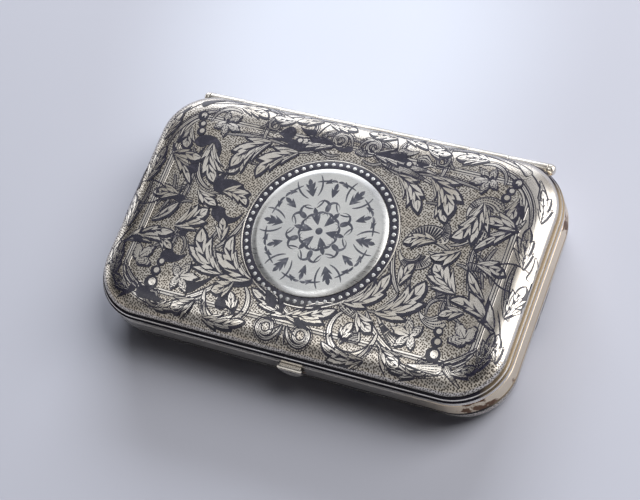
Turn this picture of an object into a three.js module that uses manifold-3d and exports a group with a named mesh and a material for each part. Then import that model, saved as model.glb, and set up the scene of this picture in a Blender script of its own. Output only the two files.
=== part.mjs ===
// A niello silver pocket case: a domed lid on a deeper base, a barrel hinge along the back
// and a sprung thumb catch at the front. Millimetres, +Z up, hinge at +Y, closed at rest.
// The origin is on the table, under the middle of the rim.
import * as THREE from 'three';
import { mergeVertices } from 'three/addons/utils/BufferGeometryUtils.js';
import Module from 'manifold-3d';

const wasm = await Module();
wasm.setup();

// Case outline and heights
const caseLength = 94.5;
const caseWidth = 55.5;
const cornerRadius = 12;
const cornerSteps = 10;
const baseHeight = 11.4;
const lidHeight = 6.05;
const crownRise = 1.0;
const crownPower = 4;
const crownRings = [0.94, 0.86, 0.75, 0.6, 0.4];

// Flat panels on the lid and the bottom, inside the rolled shoulders
const panelEndInset = 7.25;
const panelSideInset = 6.85;
const panelShift = -0.45;
const lidShoulderPower = 2.0;
const baseShoulderPower = 2.4;
const shoulderSteps = 8;

// Sheet and walls
const sheet = 0.95;
const mouthWall = 1.5;

// Reeded rim of the lid, heights above the parting line
const mouthChamfer = 0.3;
const lidSkirtTop = 1.4;
const lidLowerGroove = 1.75;
const lidReedCrest = 2.15;
const lidUpperGroove = 2.65;
const lidRimHeight = 3.0;
const lidGrooveInset = 0.45;
const lidReedInset = 0.4;
const lidUpperGrooveInset = 1.05;
const lidShoulderInset = 0.9;

// Band of the base, heights below the parting line
const bandBottom = 4.15;
const baseUpperGroove = 4.5;
const baseReedCrest = 4.9;
const baseLowerGroove = 5.3;
const baseBandHeight = 5.6;
const baseGrooveInset = 0.45;
const baseReedInset = 0.15;
const baseShoulderInset = 0.3;

// Liner frame that stands up from the base into the lid
const linerDepth = 3.6;
const linerRise = 1.3;
const linerWall = 0.8;
const linerClearance = 0.3;

// Barrel hinge
const hingeEndInset = 7.25;
const knuckleCount = 9;
const knuckleRadius = 1.2;
const knuckleGap = 0.3;
const barrelProud = 1.4;
const boreRadius = 0.65;
const pinRadius = 0.5;
const capLength = 1.4;
const capCollar = 0.55;
const capSteps = 5;
const channelClearance = 0.3;
const roundSteps = 20;

// Hinge bearers soldered inside the back walls
const bearerThickness = 1.3;
const baseBearerHeight = 3.2;
const lidBearerHeight = 2.4;
const bearerChamfer = 0.5;
const bearerSplit = 0.15;

// Raised plate in the middle of the lid
const plateRadius = 14.9;
const plateFieldRadius = 13.6;
const plateThickness = 0.55;
const plateEdge = 0.15;
const plateSeatMargin = 0.35;
const plateSteps = 64;

// Thumb catch at the front
const catchOffset = 1.8;
const tabWidth = 5.7;
const tabHeight = 3.1;
const tabProud = 1.4;
const tabTravel = 0.5;
const tabBevel = 0.3;
const tabBevelSteps = 3;
const tabBelowParting = 0.4;
const tabSideFullness = 0.75;
const tabNoseFullness = 0.72;
const curveSteps = 8;
const neckWidth = 3;
const neckHeight = 1.2;
const neckBelowTabTop = 0.5;
const neckClearance = 0.3;
const latchSetback = 1.25;
const latchThickness = 0.7;
const latchWidth = 6;
const latchFoot = 5.6;
const hookRise = 2.5;
const hookHeight = 0.7;
const hookClearance = 0.1;
const keeperDepth = 0.75;
const keeperHeight = 1.2;
const keeperWidth = 6;
const keeperLift = 0.3;
const catchGap = 0.3;

// Leaf spring and its rivets
const springReach = 12;
const springPad = 2.6;
const springThickness = 0.35;
const springHeight = 1.6;
const springBelowLiner = 0.3;
const springOuterBend = 0.8;
const springInnerBend = 0.75;
const rivetShank = 0.3;
const rivetHoleClearance = 0.25;
const rivetDepth = 0.5;
const rivetHead = 0.8;
const rivetHeadHeight = 0.4;

// Places that follow from the sizes
const parting = baseHeight;
const frontFace = -caseWidth / 2;
const backFace = caseWidth / 2;
const hingeY = backFace + barrelProud - knuckleRadius;
const hingeLength = caseLength - 2 * hingeEndInset;
const innerFront = frontFace + mouthWall;
const innerBack = backFace - mouthWall;
const crownTop = parting + lidHeight + crownRise;
const straightHalf = caseLength / 2 - cornerRadius;

// Colours of the metal
const silver = { color: 0xc9c5bd, roughness: 0.3, metalness: 1 };
const tonedSilver = { color: 0xb9b1a2, roughness: 0.36, metalness: 1 };
const goldenSilver = { color: 0xc9b8a5, roughness: 0.28, metalness: 1 };
const brightSilver = { color: 0xd9d8d4, roughness: 0.2, metalness: 1 };
const steel = { color: 0x8c8a86, roughness: 0.4, metalness: 1 };

const casket = new THREE.Group();

function addPiece(name, geometry, finish) {
  const mesh = new THREE.Mesh(geometry, new THREE.MeshStandardMaterial(finish));
  mesh.name = name;
  casket.add(mesh);
  return mesh;
}

// Closed meshes in and out of the boolean library
function toSolid(geometry) {
  const bare = geometry.clone();
  bare.deleteAttribute('normal');
  bare.deleteAttribute('uv');
  const merged = mergeVertices(bare, 1e-4);
  return new wasm.Manifold(new wasm.Mesh({
    numProp: 3,
    vertProperties: new Float32Array(merged.attributes.position.array),
    triVerts: new Uint32Array(merged.index.array),
  }));
}

function toGeometry(solid) {
  const mesh = solid.getMesh();
  const geometry = new THREE.BufferGeometry();
  geometry.setAttribute('position', new THREE.BufferAttribute(new Float32Array(mesh.vertProperties), 3));
  geometry.setIndex(new THREE.BufferAttribute(new Uint32Array(mesh.triVerts), 1));
  geometry.computeVertexNormals();
  return geometry;
}

function cut(geometry, ...tools) {
  return toGeometry(tools.reduce((solid, tool) => solid.subtract(toSolid(tool)), toSolid(geometry)));
}

function join(geometry, ...others) {
  return toGeometry(others.reduce((solid, other) => solid.add(toSolid(other)), toSolid(geometry)));
}

function boxBetween(low, high) {
  const size = new THREE.Vector3().subVectors(high, low);
  const centre = new THREE.Vector3().addVectors(low, high).multiplyScalar(0.5);
  return new THREE.BoxGeometry(size.x, size.y, size.z).translate(centre.x, centre.y, centre.z);
}

// A body of revolution along X, from a list of [distance along X, radius]
function turnedAlongX(profile, steps = roundSteps) {
  const points = profile.map(([along, radius]) => new THREE.Vector2(radius, along));
  return new THREE.LatheGeometry(points, steps).rotateZ(-Math.PI / 2);
}

// One rounded rectangle of the case, drawn in from the outer rim by its insets
function rimRing({ endInset, sideInset = endInset, z, shift = 0, scale = 1 }) {
  const halfX = (caseLength / 2 - endInset) * scale;
  const halfY = (caseWidth / 2 - sideInset) * scale;
  const radius = (cornerRadius - (endInset + sideInset) / 2) * scale;
  const corners = [[1, 1], [-1, 1], [-1, -1], [1, -1]];
  return corners.flatMap(([signX, signY], corner) => {
    const ring = [];
    for (let step = 0; step <= cornerSteps; step += 1) {
      const angle = (corner + step / cornerSteps) * Math.PI / 2;
      ring.push(new THREE.Vector3(
        signX * (halfX - radius) + radius * Math.cos(angle),
        signY * (halfY - radius) + radius * Math.sin(angle) + shift,
        z,
      ));
    }
    return ring;
  });
}

// Rings joined in order; open chains are closed by a fan at each end, loops by their last strip
function loft(sections, loop) {
  const rings = sections.map(rimRing);
  const count = rings[0].length;
  const positions = rings.flat().flatMap((point) => [point.x, point.y, point.z]);
  const indices = [];
  const strips = loop ? rings.length : rings.length - 1;
  for (let row = 0; row < strips; row += 1) {
    const next = (row + 1) % rings.length;
    for (let column = 0; column < count; column += 1) {
      const beside = (column + 1) % count;
      const [a, b] = [row * count + column, row * count + beside];
      const [c, d] = [next * count + column, next * count + beside];
      indices.push(a, b, d, a, d, c);
    }
  }
  if (!loop) {
    [0, rings.length - 1].forEach((row) => {
      const hub = positions.length / 3;
      const section = sections[row];
      positions.push(0, section.shift ?? 0, section.hubZ ?? section.z);
      for (let column = 0; column < count; column += 1) {
        const [a, b] = [row * count + column, row * count + (column + 1) % count];
        indices.push(...(row === 0 ? [hub, b, a] : [hub, a, b]));
      }
    });
  }
  const geometry = new THREE.BufferGeometry();
  geometry.setAttribute('position', new THREE.Float32BufferAttribute(positions, 3));
  geometry.setIndex(indices);
  geometry.computeVertexNormals();
  return geometry;
}

// Rolled shoulder: a superellipse from the wall to the panel, in from the wall by its inset
function shoulder({ wallInset, wallZ, extraInset, panelZ, power }) {
  const sections = [];
  for (let step = 0; step <= shoulderSteps; step += 1) {
    const angle = (step / shoulderSteps) * Math.PI / 2;
    const inward = 1 - Math.cos(angle) ** (2 / power);
    const across = Math.sin(angle) ** (2 / power);
    sections.push({
      endInset: wallInset + inward * (panelEndInset + extraInset - wallInset),
      sideInset: wallInset + inward * (panelSideInset + extraInset - wallInset),
      z: wallZ + across * (panelZ - wallZ),
      shift: inward * panelShift,
    });
  }
  return sections;
}

// Low crown inside the panel border, flatter towards the middle
function crown({ extraInset, panelZ }) {
  return crownRings.map((scale) => ({
    endInset: panelEndInset + extraInset,
    sideInset: panelSideInset + extraInset,
    z: panelZ + crownRise * (1 - scale ** crownPower),
    shift: panelShift,
    scale,
    hubZ: panelZ + crownRise,
  }));
}

// Base: bottom pan, plain band, liner
const bandFoot = parting - baseBandHeight;
const panOuter = shoulder({
  wallInset: baseShoulderInset, wallZ: bandFoot, extraInset: 0, panelZ: 0, power: baseShoulderPower,
});
const panInner = shoulder({
  wallInset: mouthWall, wallZ: bandFoot, extraInset: sheet, panelZ: sheet, power: baseShoulderPower,
});
addPiece('base_pan', loft([...panOuter.reverse(), ...panInner], false), tonedSilver);

const hingeChannel = turnedAlongX([
  [-hingeLength / 2 - capLength - 2 * channelClearance, 0],
  [-hingeLength / 2 - capLength - 2 * channelClearance, knuckleRadius + channelClearance],
  [hingeLength / 2 + capLength + 2 * channelClearance, knuckleRadius + channelClearance],
  [hingeLength / 2 + capLength + 2 * channelClearance, 0],
]).translate(0, hingeY, parting);

const tabTop = parting - tabBelowParting;
const neckTop = tabTop - neckBelowTabTop;
const neckSlot = boxBetween(
  new THREE.Vector3(
    catchOffset - neckWidth / 2 - neckClearance, frontFace - mouthWall, neckTop - neckHeight - neckClearance,
  ),
  new THREE.Vector3(catchOffset + neckWidth / 2 + neckClearance, innerFront + mouthWall, parting + mouthWall),
);

const springTop = parting - linerDepth - springBelowLiner;
const rivetZ = springTop - springHeight / 2;
const rivetXs = [-1, 1].map((side) => catchOffset + side * (springReach - springPad / 2));
const rivetHoles = rivetXs.map((x) => new THREE.CylinderGeometry(
  rivetShank + rivetHoleClearance, rivetShank + rivetHoleClearance,
  2 * (rivetDepth + rivetHoleClearance), roundSteps,
).translate(x, innerFront, rivetZ));

const bandSections = [
  { endInset: mouthWall, z: bandFoot },
  { endInset: baseShoulderInset, z: bandFoot },
  { endInset: baseGrooveInset, z: parting - baseLowerGroove },
  { endInset: baseReedInset, z: parting - baseReedCrest },
  { endInset: baseGrooveInset, z: parting - baseUpperGroove },
  { endInset: 0, z: parting - bandBottom },
  { endInset: 0, z: parting - mouthChamfer },
  { endInset: mouthChamfer, z: parting },
  { endInset: mouthWall, z: parting },
];
addPiece('base_band', cut(loft(bandSections, true), hingeChannel, neckSlot, ...rivetHoles), goldenSilver);

const linerOuter = mouthWall + linerClearance;
const linerSections = [
  { endInset: linerOuter + linerWall, z: parting - linerDepth },
  { endInset: mouthWall, z: parting - linerDepth },
  { endInset: mouthWall, z: parting },
  { endInset: linerOuter, z: parting },
  { endInset: linerOuter, z: parting + linerRise },
  { endInset: linerOuter + linerWall, z: parting + linerRise },
];
const linerBackCut = boxBetween(
  new THREE.Vector3(-caseLength, backFace - cornerRadius, 0),
  new THREE.Vector3(caseLength, caseWidth, 2 * parting),
);
const linerCatchCut = boxBetween(
  new THREE.Vector3(
    catchOffset - latchWidth / 2 - 2 * catchGap, -caseWidth, neckTop - neckHeight - neckClearance,
  ),
  new THREE.Vector3(catchOffset + latchWidth / 2 + 2 * catchGap, 0, 2 * parting),
);
addPiece('base_liner', cut(loft(linerSections, true), linerBackCut, linerCatchCut), goldenSilver);

// Lid: reeded rim, domed cover with a round seat, and the raised plate on the seat
const rimTop = parting + lidRimHeight;
const rimSections = [
  { endInset: mouthWall, z: parting },
  { endInset: mouthChamfer, z: parting },
  { endInset: 0, z: parting + mouthChamfer },
  { endInset: 0, z: parting + lidSkirtTop },
  { endInset: lidGrooveInset, z: parting + lidLowerGroove },
  { endInset: lidReedInset, z: parting + lidReedCrest },
  { endInset: lidUpperGrooveInset, z: parting + lidUpperGroove },
  { endInset: lidShoulderInset, z: rimTop },
  { endInset: mouthWall, z: rimTop },
];
addPiece('lid_rim', cut(loft(rimSections, true), hingeChannel), silver);

const coverOuter = shoulder({
  wallInset: lidShoulderInset, wallZ: rimTop, extraInset: 0, panelZ: parting + lidHeight,
  power: lidShoulderPower,
});
const coverInner = shoulder({
  wallInset: mouthWall, wallZ: rimTop, extraInset: sheet, panelZ: parting + lidHeight - sheet,
  power: lidShoulderPower,
});
const outerCrown = crown({ extraInset: 0, panelZ: parting + lidHeight });
const innerCrown = crown({ extraInset: sheet, panelZ: parting + lidHeight - sheet });
const coverSheet = loft(
  [...innerCrown.reverse(), ...coverInner.reverse(), ...coverOuter, ...outerCrown], false,
);
const plateSeat = new THREE.CylinderGeometry(
  plateRadius + plateSeatMargin, plateRadius + plateSeatMargin, crownRise, plateSteps,
).rotateX(Math.PI / 2).translate(0, panelShift, crownTop - crownRise / 2);
addPiece('lid_cover', join(coverSheet, plateSeat), silver);

const plateProfile = [
  [0, 0],
  [plateRadius, 0],
  [plateRadius, plateEdge],
  [plateFieldRadius, plateThickness],
  [0, plateThickness],
].map(([radius, height]) => new THREE.Vector2(radius, height));
addPiece(
  'cartouche_plate',
  new THREE.LatheGeometry(plateProfile, plateSteps).rotateX(Math.PI / 2).translate(0, panelShift, crownTop),
  brightSilver,
);

// Hinge: alternate knuckles on base and lid, pin, domed caps, bearers inside the walls
const knucklePitch = (hingeLength + knuckleGap) / knuckleCount;
const knuckleLength = knucklePitch - knuckleGap;
for (let index = 0; index < knuckleCount; index += 1) {
  const start = -hingeLength / 2 + index * knucklePitch;
  const owner = index % 2 === 0 ? 'base' : 'lid';
  const knuckle = turnedAlongX([
    [0, boreRadius],
    [0, knuckleRadius],
    [knuckleLength, knuckleRadius],
    [knuckleLength, boreRadius],
    [0, boreRadius],
  ]).translate(start, hingeY, parting);
  const number = Math.floor(index / 2) + 1;
  addPiece(`${owner}_knuckle_${number}`, knuckle, owner === 'base' ? goldenSilver : silver);
}

const pinHalf = hingeLength / 2 + knuckleGap;
addPiece('hinge_pin', turnedAlongX([
  [-pinHalf, 0],
  [-pinHalf, pinRadius],
  [pinHalf, pinRadius],
  [pinHalf, 0],
]).translate(0, hingeY, parting), steel);

// End caps: a short collar and a dome over it
const capProfile = [[0, 0], [0, knuckleRadius]];
for (let step = 0; step < capSteps; step += 1) {
  const angle = (step / capSteps) * Math.PI / 2;
  capProfile.push([
    capCollar + (capLength - capCollar) * Math.sin(angle),
    knuckleRadius * Math.cos(angle),
  ]);
}
capProfile.push([capLength, 0]);
addPiece('hinge_cap_right', turnedAlongX(capProfile).translate(pinHalf, hingeY, parting), goldenSilver);
addPiece(
  'hinge_cap_left',
  turnedAlongX(capProfile).rotateZ(Math.PI).translate(-pinHalf, hingeY, parting),
  goldenSilver,
);

function bearer(low, high, chamferZ) {
  const chamferLow = chamferZ === low ? bearerChamfer : 0;
  const chamferHigh = chamferZ === high ? bearerChamfer : 0;
  const outline = new THREE.Shape();
  outline.moveTo(innerBack, low);
  outline.lineTo(innerBack, high);
  outline.lineTo(innerBack - bearerThickness + chamferHigh, high);
  outline.lineTo(innerBack - bearerThickness, high - chamferHigh);
  outline.lineTo(innerBack - bearerThickness, low + chamferLow);
  outline.lineTo(innerBack - bearerThickness + chamferLow, low);
  outline.closePath();
  const bar = new THREE.ExtrudeGeometry(outline, { depth: 2 * straightHalf, bevelEnabled: false });
  // Shape (x, y) becomes (Y, Z) and the depth runs along X
  const turned = new THREE.Matrix4().makeBasis(
    new THREE.Vector3(0, 1, 0), new THREE.Vector3(0, 0, 1), new THREE.Vector3(1, 0, 0),
  );
  return bar.applyMatrix4(turned).translate(-straightHalf, 0, 0);
}
const baseBearerLow = parting - bearerSplit - baseBearerHeight;
addPiece('base_hinge_bearer', bearer(baseBearerLow, parting - bearerSplit, baseBearerLow), goldenSilver);
const lidBearerHigh = parting + bearerSplit + lidBearerHeight;
addPiece('lid_hinge_bearer', bearer(parting + bearerSplit, lidBearerHigh, lidBearerHigh), silver);

// Catch: half-moon thumb piece, hooked latch, keeper in the lid, leaf spring and rivets
const tabShape = new THREE.Shape();
tabShape.moveTo(-tabWidth / 2, 0);
tabShape.lineTo(tabWidth / 2, 0);
const tabSideHandle = tabSideFullness * tabHeight;
const tabNoseHandle = tabNoseFullness * tabWidth / 2;
tabShape.bezierCurveTo(tabWidth / 2, -tabSideHandle, tabNoseHandle, -tabHeight, 0, -tabHeight);
tabShape.bezierCurveTo(-tabNoseHandle, -tabHeight, -tabWidth / 2, -tabSideHandle, -tabWidth / 2, 0);
const tabThickness = tabProud - tabTravel - neckClearance / 2;
const tab = new THREE.ExtrudeGeometry(tabShape, {
  depth: tabThickness - tabBevel,
  bevelThickness: tabBevel / 2,
  bevelSize: tabBevel,
  bevelOffset: -tabBevel,
  bevelSegments: tabBevelSteps,
  curveSegments: curveSteps,
}).rotateX(Math.PI / 2).translate(catchOffset, frontFace - tabProud + tabThickness - tabBevel / 2, tabTop);
const tabMiddle = frontFace - tabProud + tabThickness / 2;
const latchFront = innerFront + latchSetback;
const neck = boxBetween(
  new THREE.Vector3(catchOffset - neckWidth / 2, tabMiddle, neckTop - neckHeight),
  new THREE.Vector3(catchOffset + neckWidth / 2, latchFront, neckTop),
);
addPiece('thumb_piece', join(tab, neck), brightSilver);

const keeperTop = parting + keeperLift + keeperHeight;
const keeperFace = innerFront + keeperDepth;
const latchOutline = new THREE.Shape();
latchOutline.moveTo(latchFront, parting - latchFoot);
latchOutline.lineTo(latchFront + latchThickness, parting - latchFoot);
latchOutline.lineTo(latchFront + latchThickness, parting + hookRise);
latchOutline.lineTo(latchFront, parting + hookRise);
latchOutline.lineTo(keeperFace + hookClearance, parting + hookRise - hookHeight);
latchOutline.lineTo(latchFront, parting + hookRise - hookHeight);
latchOutline.closePath();
const latch = new THREE.ExtrudeGeometry(latchOutline, { depth: latchWidth, bevelEnabled: false });
latch.applyMatrix4(new THREE.Matrix4().makeBasis(
  new THREE.Vector3(0, 1, 0), new THREE.Vector3(0, 0, 1), new THREE.Vector3(1, 0, 0),
)).translate(catchOffset - latchWidth / 2, 0, 0);
addPiece('latch_hook', latch, steel);

addPiece('lid_keeper', boxBetween(
  new THREE.Vector3(catchOffset - keeperWidth / 2, innerFront, parting + keeperLift),
  new THREE.Vector3(catchOffset + keeperWidth / 2, keeperFace, keeperTop),
), silver);

const springBack = latchFront + latchThickness + catchGap;
const leaf = new THREE.Shape();
const leafHalf = latchWidth / 2;
const padEnd = springReach - springPad;
const outerBend = springOuterBend * padEnd;
const innerBend = springInnerBend * padEnd;
leaf.moveTo(-springReach, innerFront);
leaf.lineTo(-padEnd, innerFront);
leaf.bezierCurveTo(-innerBend, innerFront, -outerBend, springBack, -leafHalf, springBack);
leaf.lineTo(leafHalf, springBack);
leaf.bezierCurveTo(outerBend, springBack, innerBend, innerFront, padEnd, innerFront);
leaf.lineTo(springReach, innerFront);
leaf.lineTo(springReach, innerFront + springThickness);
leaf.lineTo(padEnd, innerFront + springThickness);
leaf.bezierCurveTo(
  outerBend, innerFront + springThickness, innerBend, springBack + springThickness,
  leafHalf, springBack + springThickness,
);
leaf.lineTo(-leafHalf, springBack + springThickness);
leaf.bezierCurveTo(
  -innerBend, springBack + springThickness, -outerBend, innerFront + springThickness,
  -padEnd, innerFront + springThickness,
);
leaf.lineTo(-springReach, innerFront + springThickness);
leaf.closePath();
const springStrip = new THREE.ExtrudeGeometry(leaf, {
  depth: springHeight, bevelEnabled: false, curveSegments: curveSteps,
}).translate(catchOffset, 0, springTop - springHeight);
addPiece('catch_spring', cut(springStrip, ...rivetHoles), steel);

const rivetProfile = [
  [0, -rivetDepth],
  [rivetShank, -rivetDepth],
  [rivetShank, springThickness],
  [rivetHead, springThickness],
  [rivetHead, springThickness + rivetHeadHeight / 2],
  [rivetHead / 2, springThickness + rivetHeadHeight],
  [0, springThickness + rivetHeadHeight],
].map(([radius, along]) => new THREE.Vector2(radius, along));
rivetXs.forEach((x, index) => {
  const rivet = new THREE.LatheGeometry(rivetProfile, roundSteps).translate(x, innerFront, rivetZ);
  addPiece(`catch_rivet_${index === 0 ? 'left' : 'right'}`, rivet, steel);
});

export default casket;
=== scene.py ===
# A niello silver pocket case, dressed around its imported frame. Metres, +Z up, hinge at +Y.
# Sizes of the pieces are in millimetres and degrees; room, floor and finishes are laid out in metres.
import math
import bmesh
import bpy
import numpy as np
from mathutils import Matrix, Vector


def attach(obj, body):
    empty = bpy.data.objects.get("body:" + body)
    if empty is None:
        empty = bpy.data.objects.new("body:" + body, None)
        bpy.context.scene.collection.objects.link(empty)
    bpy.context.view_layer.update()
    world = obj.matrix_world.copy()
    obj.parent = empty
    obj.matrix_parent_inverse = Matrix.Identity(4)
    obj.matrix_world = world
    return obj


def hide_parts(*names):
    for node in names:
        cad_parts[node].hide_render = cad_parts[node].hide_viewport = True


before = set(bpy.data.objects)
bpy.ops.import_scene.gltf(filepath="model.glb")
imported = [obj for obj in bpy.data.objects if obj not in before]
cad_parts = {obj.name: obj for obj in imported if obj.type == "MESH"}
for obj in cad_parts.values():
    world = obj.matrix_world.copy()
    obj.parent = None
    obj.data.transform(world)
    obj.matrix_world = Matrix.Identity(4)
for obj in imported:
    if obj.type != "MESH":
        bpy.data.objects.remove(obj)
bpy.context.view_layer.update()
mm = 0.001
print("frame loaded:", len(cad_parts), "nodes")

scene = bpy.context.scene
scene.view_settings.view_transform = "Standard"


# Camera, floor, lamps and world

cameraSetup = {
    "place": (0.14694, -0.13035, 0.35148),
    "turn": (26.262, 15.093, 21.245),  # XYZ Euler angles, the last one holds the roll
    "lens": 103.9, "sensor": 36.0, "nearest": 0.01,
}
lampSetup = {
    "right window": {"place": (0.53, 0.36, 0.74), "size": (0.50, 0.84), "power": 10.4,
                     "colour": (1.0, 0.985, 0.97)},
    "back strip": {"place": (-0.16, 0.76, 0.38), "size": (0.7, 0.30), "power": 9.4,
                   "colour": (0.95, 0.97, 1.0)},
}
lampTarget = (0, 0, 0.01)
skyLight = {
    "high": (0.39, 0.40, 0.41), "low": (0.02, 0.02, 0.025), "behind": (0.62, 0.64, 0.72),
    "axis": (-0.34, 0.34, 0.877), "from": 0.90, "to": 0.98,
}
# What the polished metal mirrors: each soft patch of the room lies about an axis, between two cosines
roomWalls = (0.48, 0.46, 0.44)
roomPatches = {
    "dark left side": ((-0.76, -0.02, 0.65), 0.87, 0.95, (0.04, 0.04, 0.045)),
    "left wall": ((-0.98, 0.18, 0.05), 0.94, 0.975, (1.7, 1.71, 1.73)),
    "back wall": ((-0.05, 0.80, 0.60), 0.72, 0.88, (0.50, 0.50, 0.52)),
    "pale ceiling": ((-0.38, 0.31, 0.87), 0.95, 0.99, (0.71, 0.71, 0.71)),
    "right wall": ((0.42, 0.02, 0.90), 0.93, 0.985, (0.28, 0.27, 0.26)),
    "dark ceiling": ((0.12, 0.10, 0.985), 0.945, 0.968, (0.03, 0.03, 0.03)),
    "dim front": ((-0.36, -0.66, 0.66), 0.90, 0.97, (0.30, 0.30, 0.31)),
    "front card": ((-0.31, -0.10, 0.945), 0.972, 0.988, (2.0, 2.0, 2.0)),
    "dark front right": ((0.46, -0.32, 0.83), 0.950, 0.984, (0.04, 0.04, 0.05)),
    "back cloth": ((-0.46, 0.87, 0.14), 0.82, 0.95, (2.3, 2.33, 2.40)),
    "window head": ((0.50, 0.52, 0.69), 0.935, 0.965, (3.6, 3.55, 3.5)),
    "window foot": ((0.86, 0.47, 0.20), 0.82, 0.91, (3.6, 3.5, 3.4)),
}


def aimAt(place, target):  # Euler turn that looks from place to target
    away = Vector(place) - Vector(target)
    return away.to_track_quat("Z", "Y").to_euler()


cameraData = bpy.data.cameras.new("photoCamera")
cameraData.lens = cameraSetup["lens"]
cameraData.sensor_width = cameraSetup["sensor"]
cameraData.clip_start = cameraSetup["nearest"]
cameraObject = bpy.data.objects.new("photoCamera", cameraData)
cameraObject.location = cameraSetup["place"]
cameraObject.rotation_euler = [math.radians(a) for a in cameraSetup["turn"]]
scene.collection.objects.link(cameraObject)
scene.camera = cameraObject

for lampName, lamp in lampSetup.items():
    light = bpy.data.lights.new(lampName, "AREA")
    light.shape = "RECTANGLE"
    light.size, light.size_y = lamp["size"]
    light.energy = lamp["power"]
    light.color = lamp["colour"]
    lampObject = bpy.data.objects.new(lampName, light)
    lampObject.location = lamp["place"]
    lampObject.rotation_euler = aimAt(lamp["place"], lampTarget)
    lampObject.visible_glossy = False  # the metal mirrors the room patches instead
    scene.collection.objects.link(lampObject)

world = bpy.data.worlds.new("studio")
scene.world = world
world.use_nodes = True
print("camera and lamps set")


# Node helpers for the finishes

def newMaterial(name, finish, metallic=1.0):
    material = bpy.data.materials.new(name)
    material.use_nodes = True
    tree = material.node_tree
    shader = tree.nodes["Principled BSDF"]
    shader.inputs["Base Color"].default_value = (*finish["colour"], 1)
    shader.inputs["Metallic"].default_value = metallic
    shader.inputs["Roughness"].default_value = finish["roughness"]
    if "specular" in finish:
        shader.inputs["Specular IOR Level"].default_value = finish["specular"]
    return material, tree, shader, tree.nodes.new("ShaderNodeTexCoord").outputs["Object"]


def plug(tree, socket, value):  # links a socket, or sets a number, vector or colour
    if isinstance(value, bpy.types.NodeSocket):
        tree.links.new(value, socket)
    elif isinstance(value, tuple) and len(socket.default_value) == 4:
        socket.default_value = (*value, 1)
    else:
        socket.default_value = value


def addNode(tree, kind, settings=None, **sockets):  # a socket is named, or numbered as i0, i1
    node = tree.nodes.new(kind)
    for key, value in (settings or {}).items():
        setattr(node, key, value)
    for key, value in sockets.items():
        plug(tree, node.inputs[int(key[1:])] if key[1:].isdigit() else node.inputs[key], value)
    return node


def noiseAt(tree, place, scale, detail=2.0, roughness=0.5):
    return addNode(tree, "ShaderNodeTexNoise", Vector=place, Scale=scale, Detail=detail,
                   Roughness=roughness).outputs["Fac"]


def remap(tree, value, low, high, toLow=0.0, toHigh=1.0):
    node = addNode(tree, "ShaderNodeMapRange", {"interpolation_type": "SMOOTHSTEP"}, Value=value)
    for key, number in (("From Min", low), ("From Max", high), ("To Min", toLow), ("To Max", toHigh)):
        node.inputs[key].default_value = number
    return node.outputs["Result"]


def grain(tree, place, scale, low, high, detail=2.0, roughness=0.5):
    # noise whose range from low to high is spread over 0 to 1
    return remap(tree, noiseAt(tree, place, scale, detail, roughness), low, high)


def mixColour(tree, factor, first, second):
    return addNode(tree, "ShaderNodeMix", {"data_type": "RGBA"}, i0=factor, i6=first, i7=second).outputs[2]


def mixNumber(tree, factor, first, second):
    return addNode(tree, "ShaderNodeMix", {"data_type": "FLOAT"}, i0=factor, i2=first, i3=second).outputs[0]


def maths(tree, operation, first, second=0.0):
    return addNode(tree, "ShaderNodeMath", {"operation": operation}, i0=first, i1=second).outputs[0]


def distanceTo(tree, place, point):
    node = addNode(tree, "ShaderNodeVectorMath", {"operation": "DISTANCE"}, i0=place, i1=point)
    return node.outputs["Value"]


def axesOf(tree, place):
    return addNode(tree, "ShaderNodeSeparateXYZ", Vector=place).outputs


def turnedPlace(tree, place, turn, scale=(1.0, 1.0, 1.0)):
    node = addNode(tree, "ShaderNodeMapping", Vector=place, Scale=scale, Rotation=(0, 0, turn))
    return node.outputs["Vector"]


def bumpOn(tree, shader, height, strength, distance):
    bump = addNode(tree, "ShaderNodeBump", Height=height, Strength=strength, Distance=distance)
    tree.links.new(bump.outputs["Normal"], shader.inputs["Normal"])


def paint(tree, shader, factor, first, second):
    tree.links.new(mixColour(tree, factor, first, second), shader.inputs["Base Color"])


# Finishes, one dictionary each; bump is its strength and its depth

silverFinish = {
    "colour": (0.82, 0.785, 0.735), "shade": (0.66, 0.615, 0.545), "roughness": 0.22,
    "patches": {"scale": 160.0, "low": 0.42, "high": 0.68, "detail": 3.0},
    "hairlines": {"turn": 0.5, "scale": (900.0, 7000.0, 900.0)},
    "hairRange": (0.3, 0.7), "hairRoughness": (0.18, 0.28), "bump": (0.25, 0.00001),
}


def plainSilver():  # satin silver with fine hairlines and a faint yellow tone in patches
    material, tree, shader, place = newMaterial("plainSilver", silverFinish)
    patches = grain(tree, place, **silverFinish["patches"])
    paint(tree, shader, patches, silverFinish["colour"], silverFinish["shade"])
    hairlines = noiseAt(tree, turnedPlace(tree, place, **silverFinish["hairlines"]), 1.0)
    rough = remap(tree, hairlines, *silverFinish["hairRange"], *silverFinish["hairRoughness"])
    tree.links.new(rough, shader.inputs["Roughness"])
    bumpOn(tree, shader, hairlines, *silverFinish["bump"])
    return material


groundFinish = {
    "colour": (0.72, 0.685, 0.635), "toned": (0.64, 0.59, 0.525), "hollow": (0.115, 0.10, 0.085),
    "roughness": 0.27, "tones": {"scale": 110.0, "low": 0.40, "high": 0.62, "detail": 3.0},
    "pitch": 0.50, "rowTurn": 0.42, "wander": 0.6, "dotEdge": (0.25, 0.46), "steepUnder": 0.6,
    # the dots fade out over these spans of the right end and the back shoulder: partly a worn plain margin,
    # partly painted highlight
    "wornAndLitRight": (0.0385, 0.0425), "wornAndLitBack": (0.0225, 0.0265), "wornAndLitBackMost": 0.7,
    "keptFront": (-0.0190, -0.0130), "ragged": 0.004, "raggedScale": 420.0, "bump": (0.35, 0.00004),
}


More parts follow.
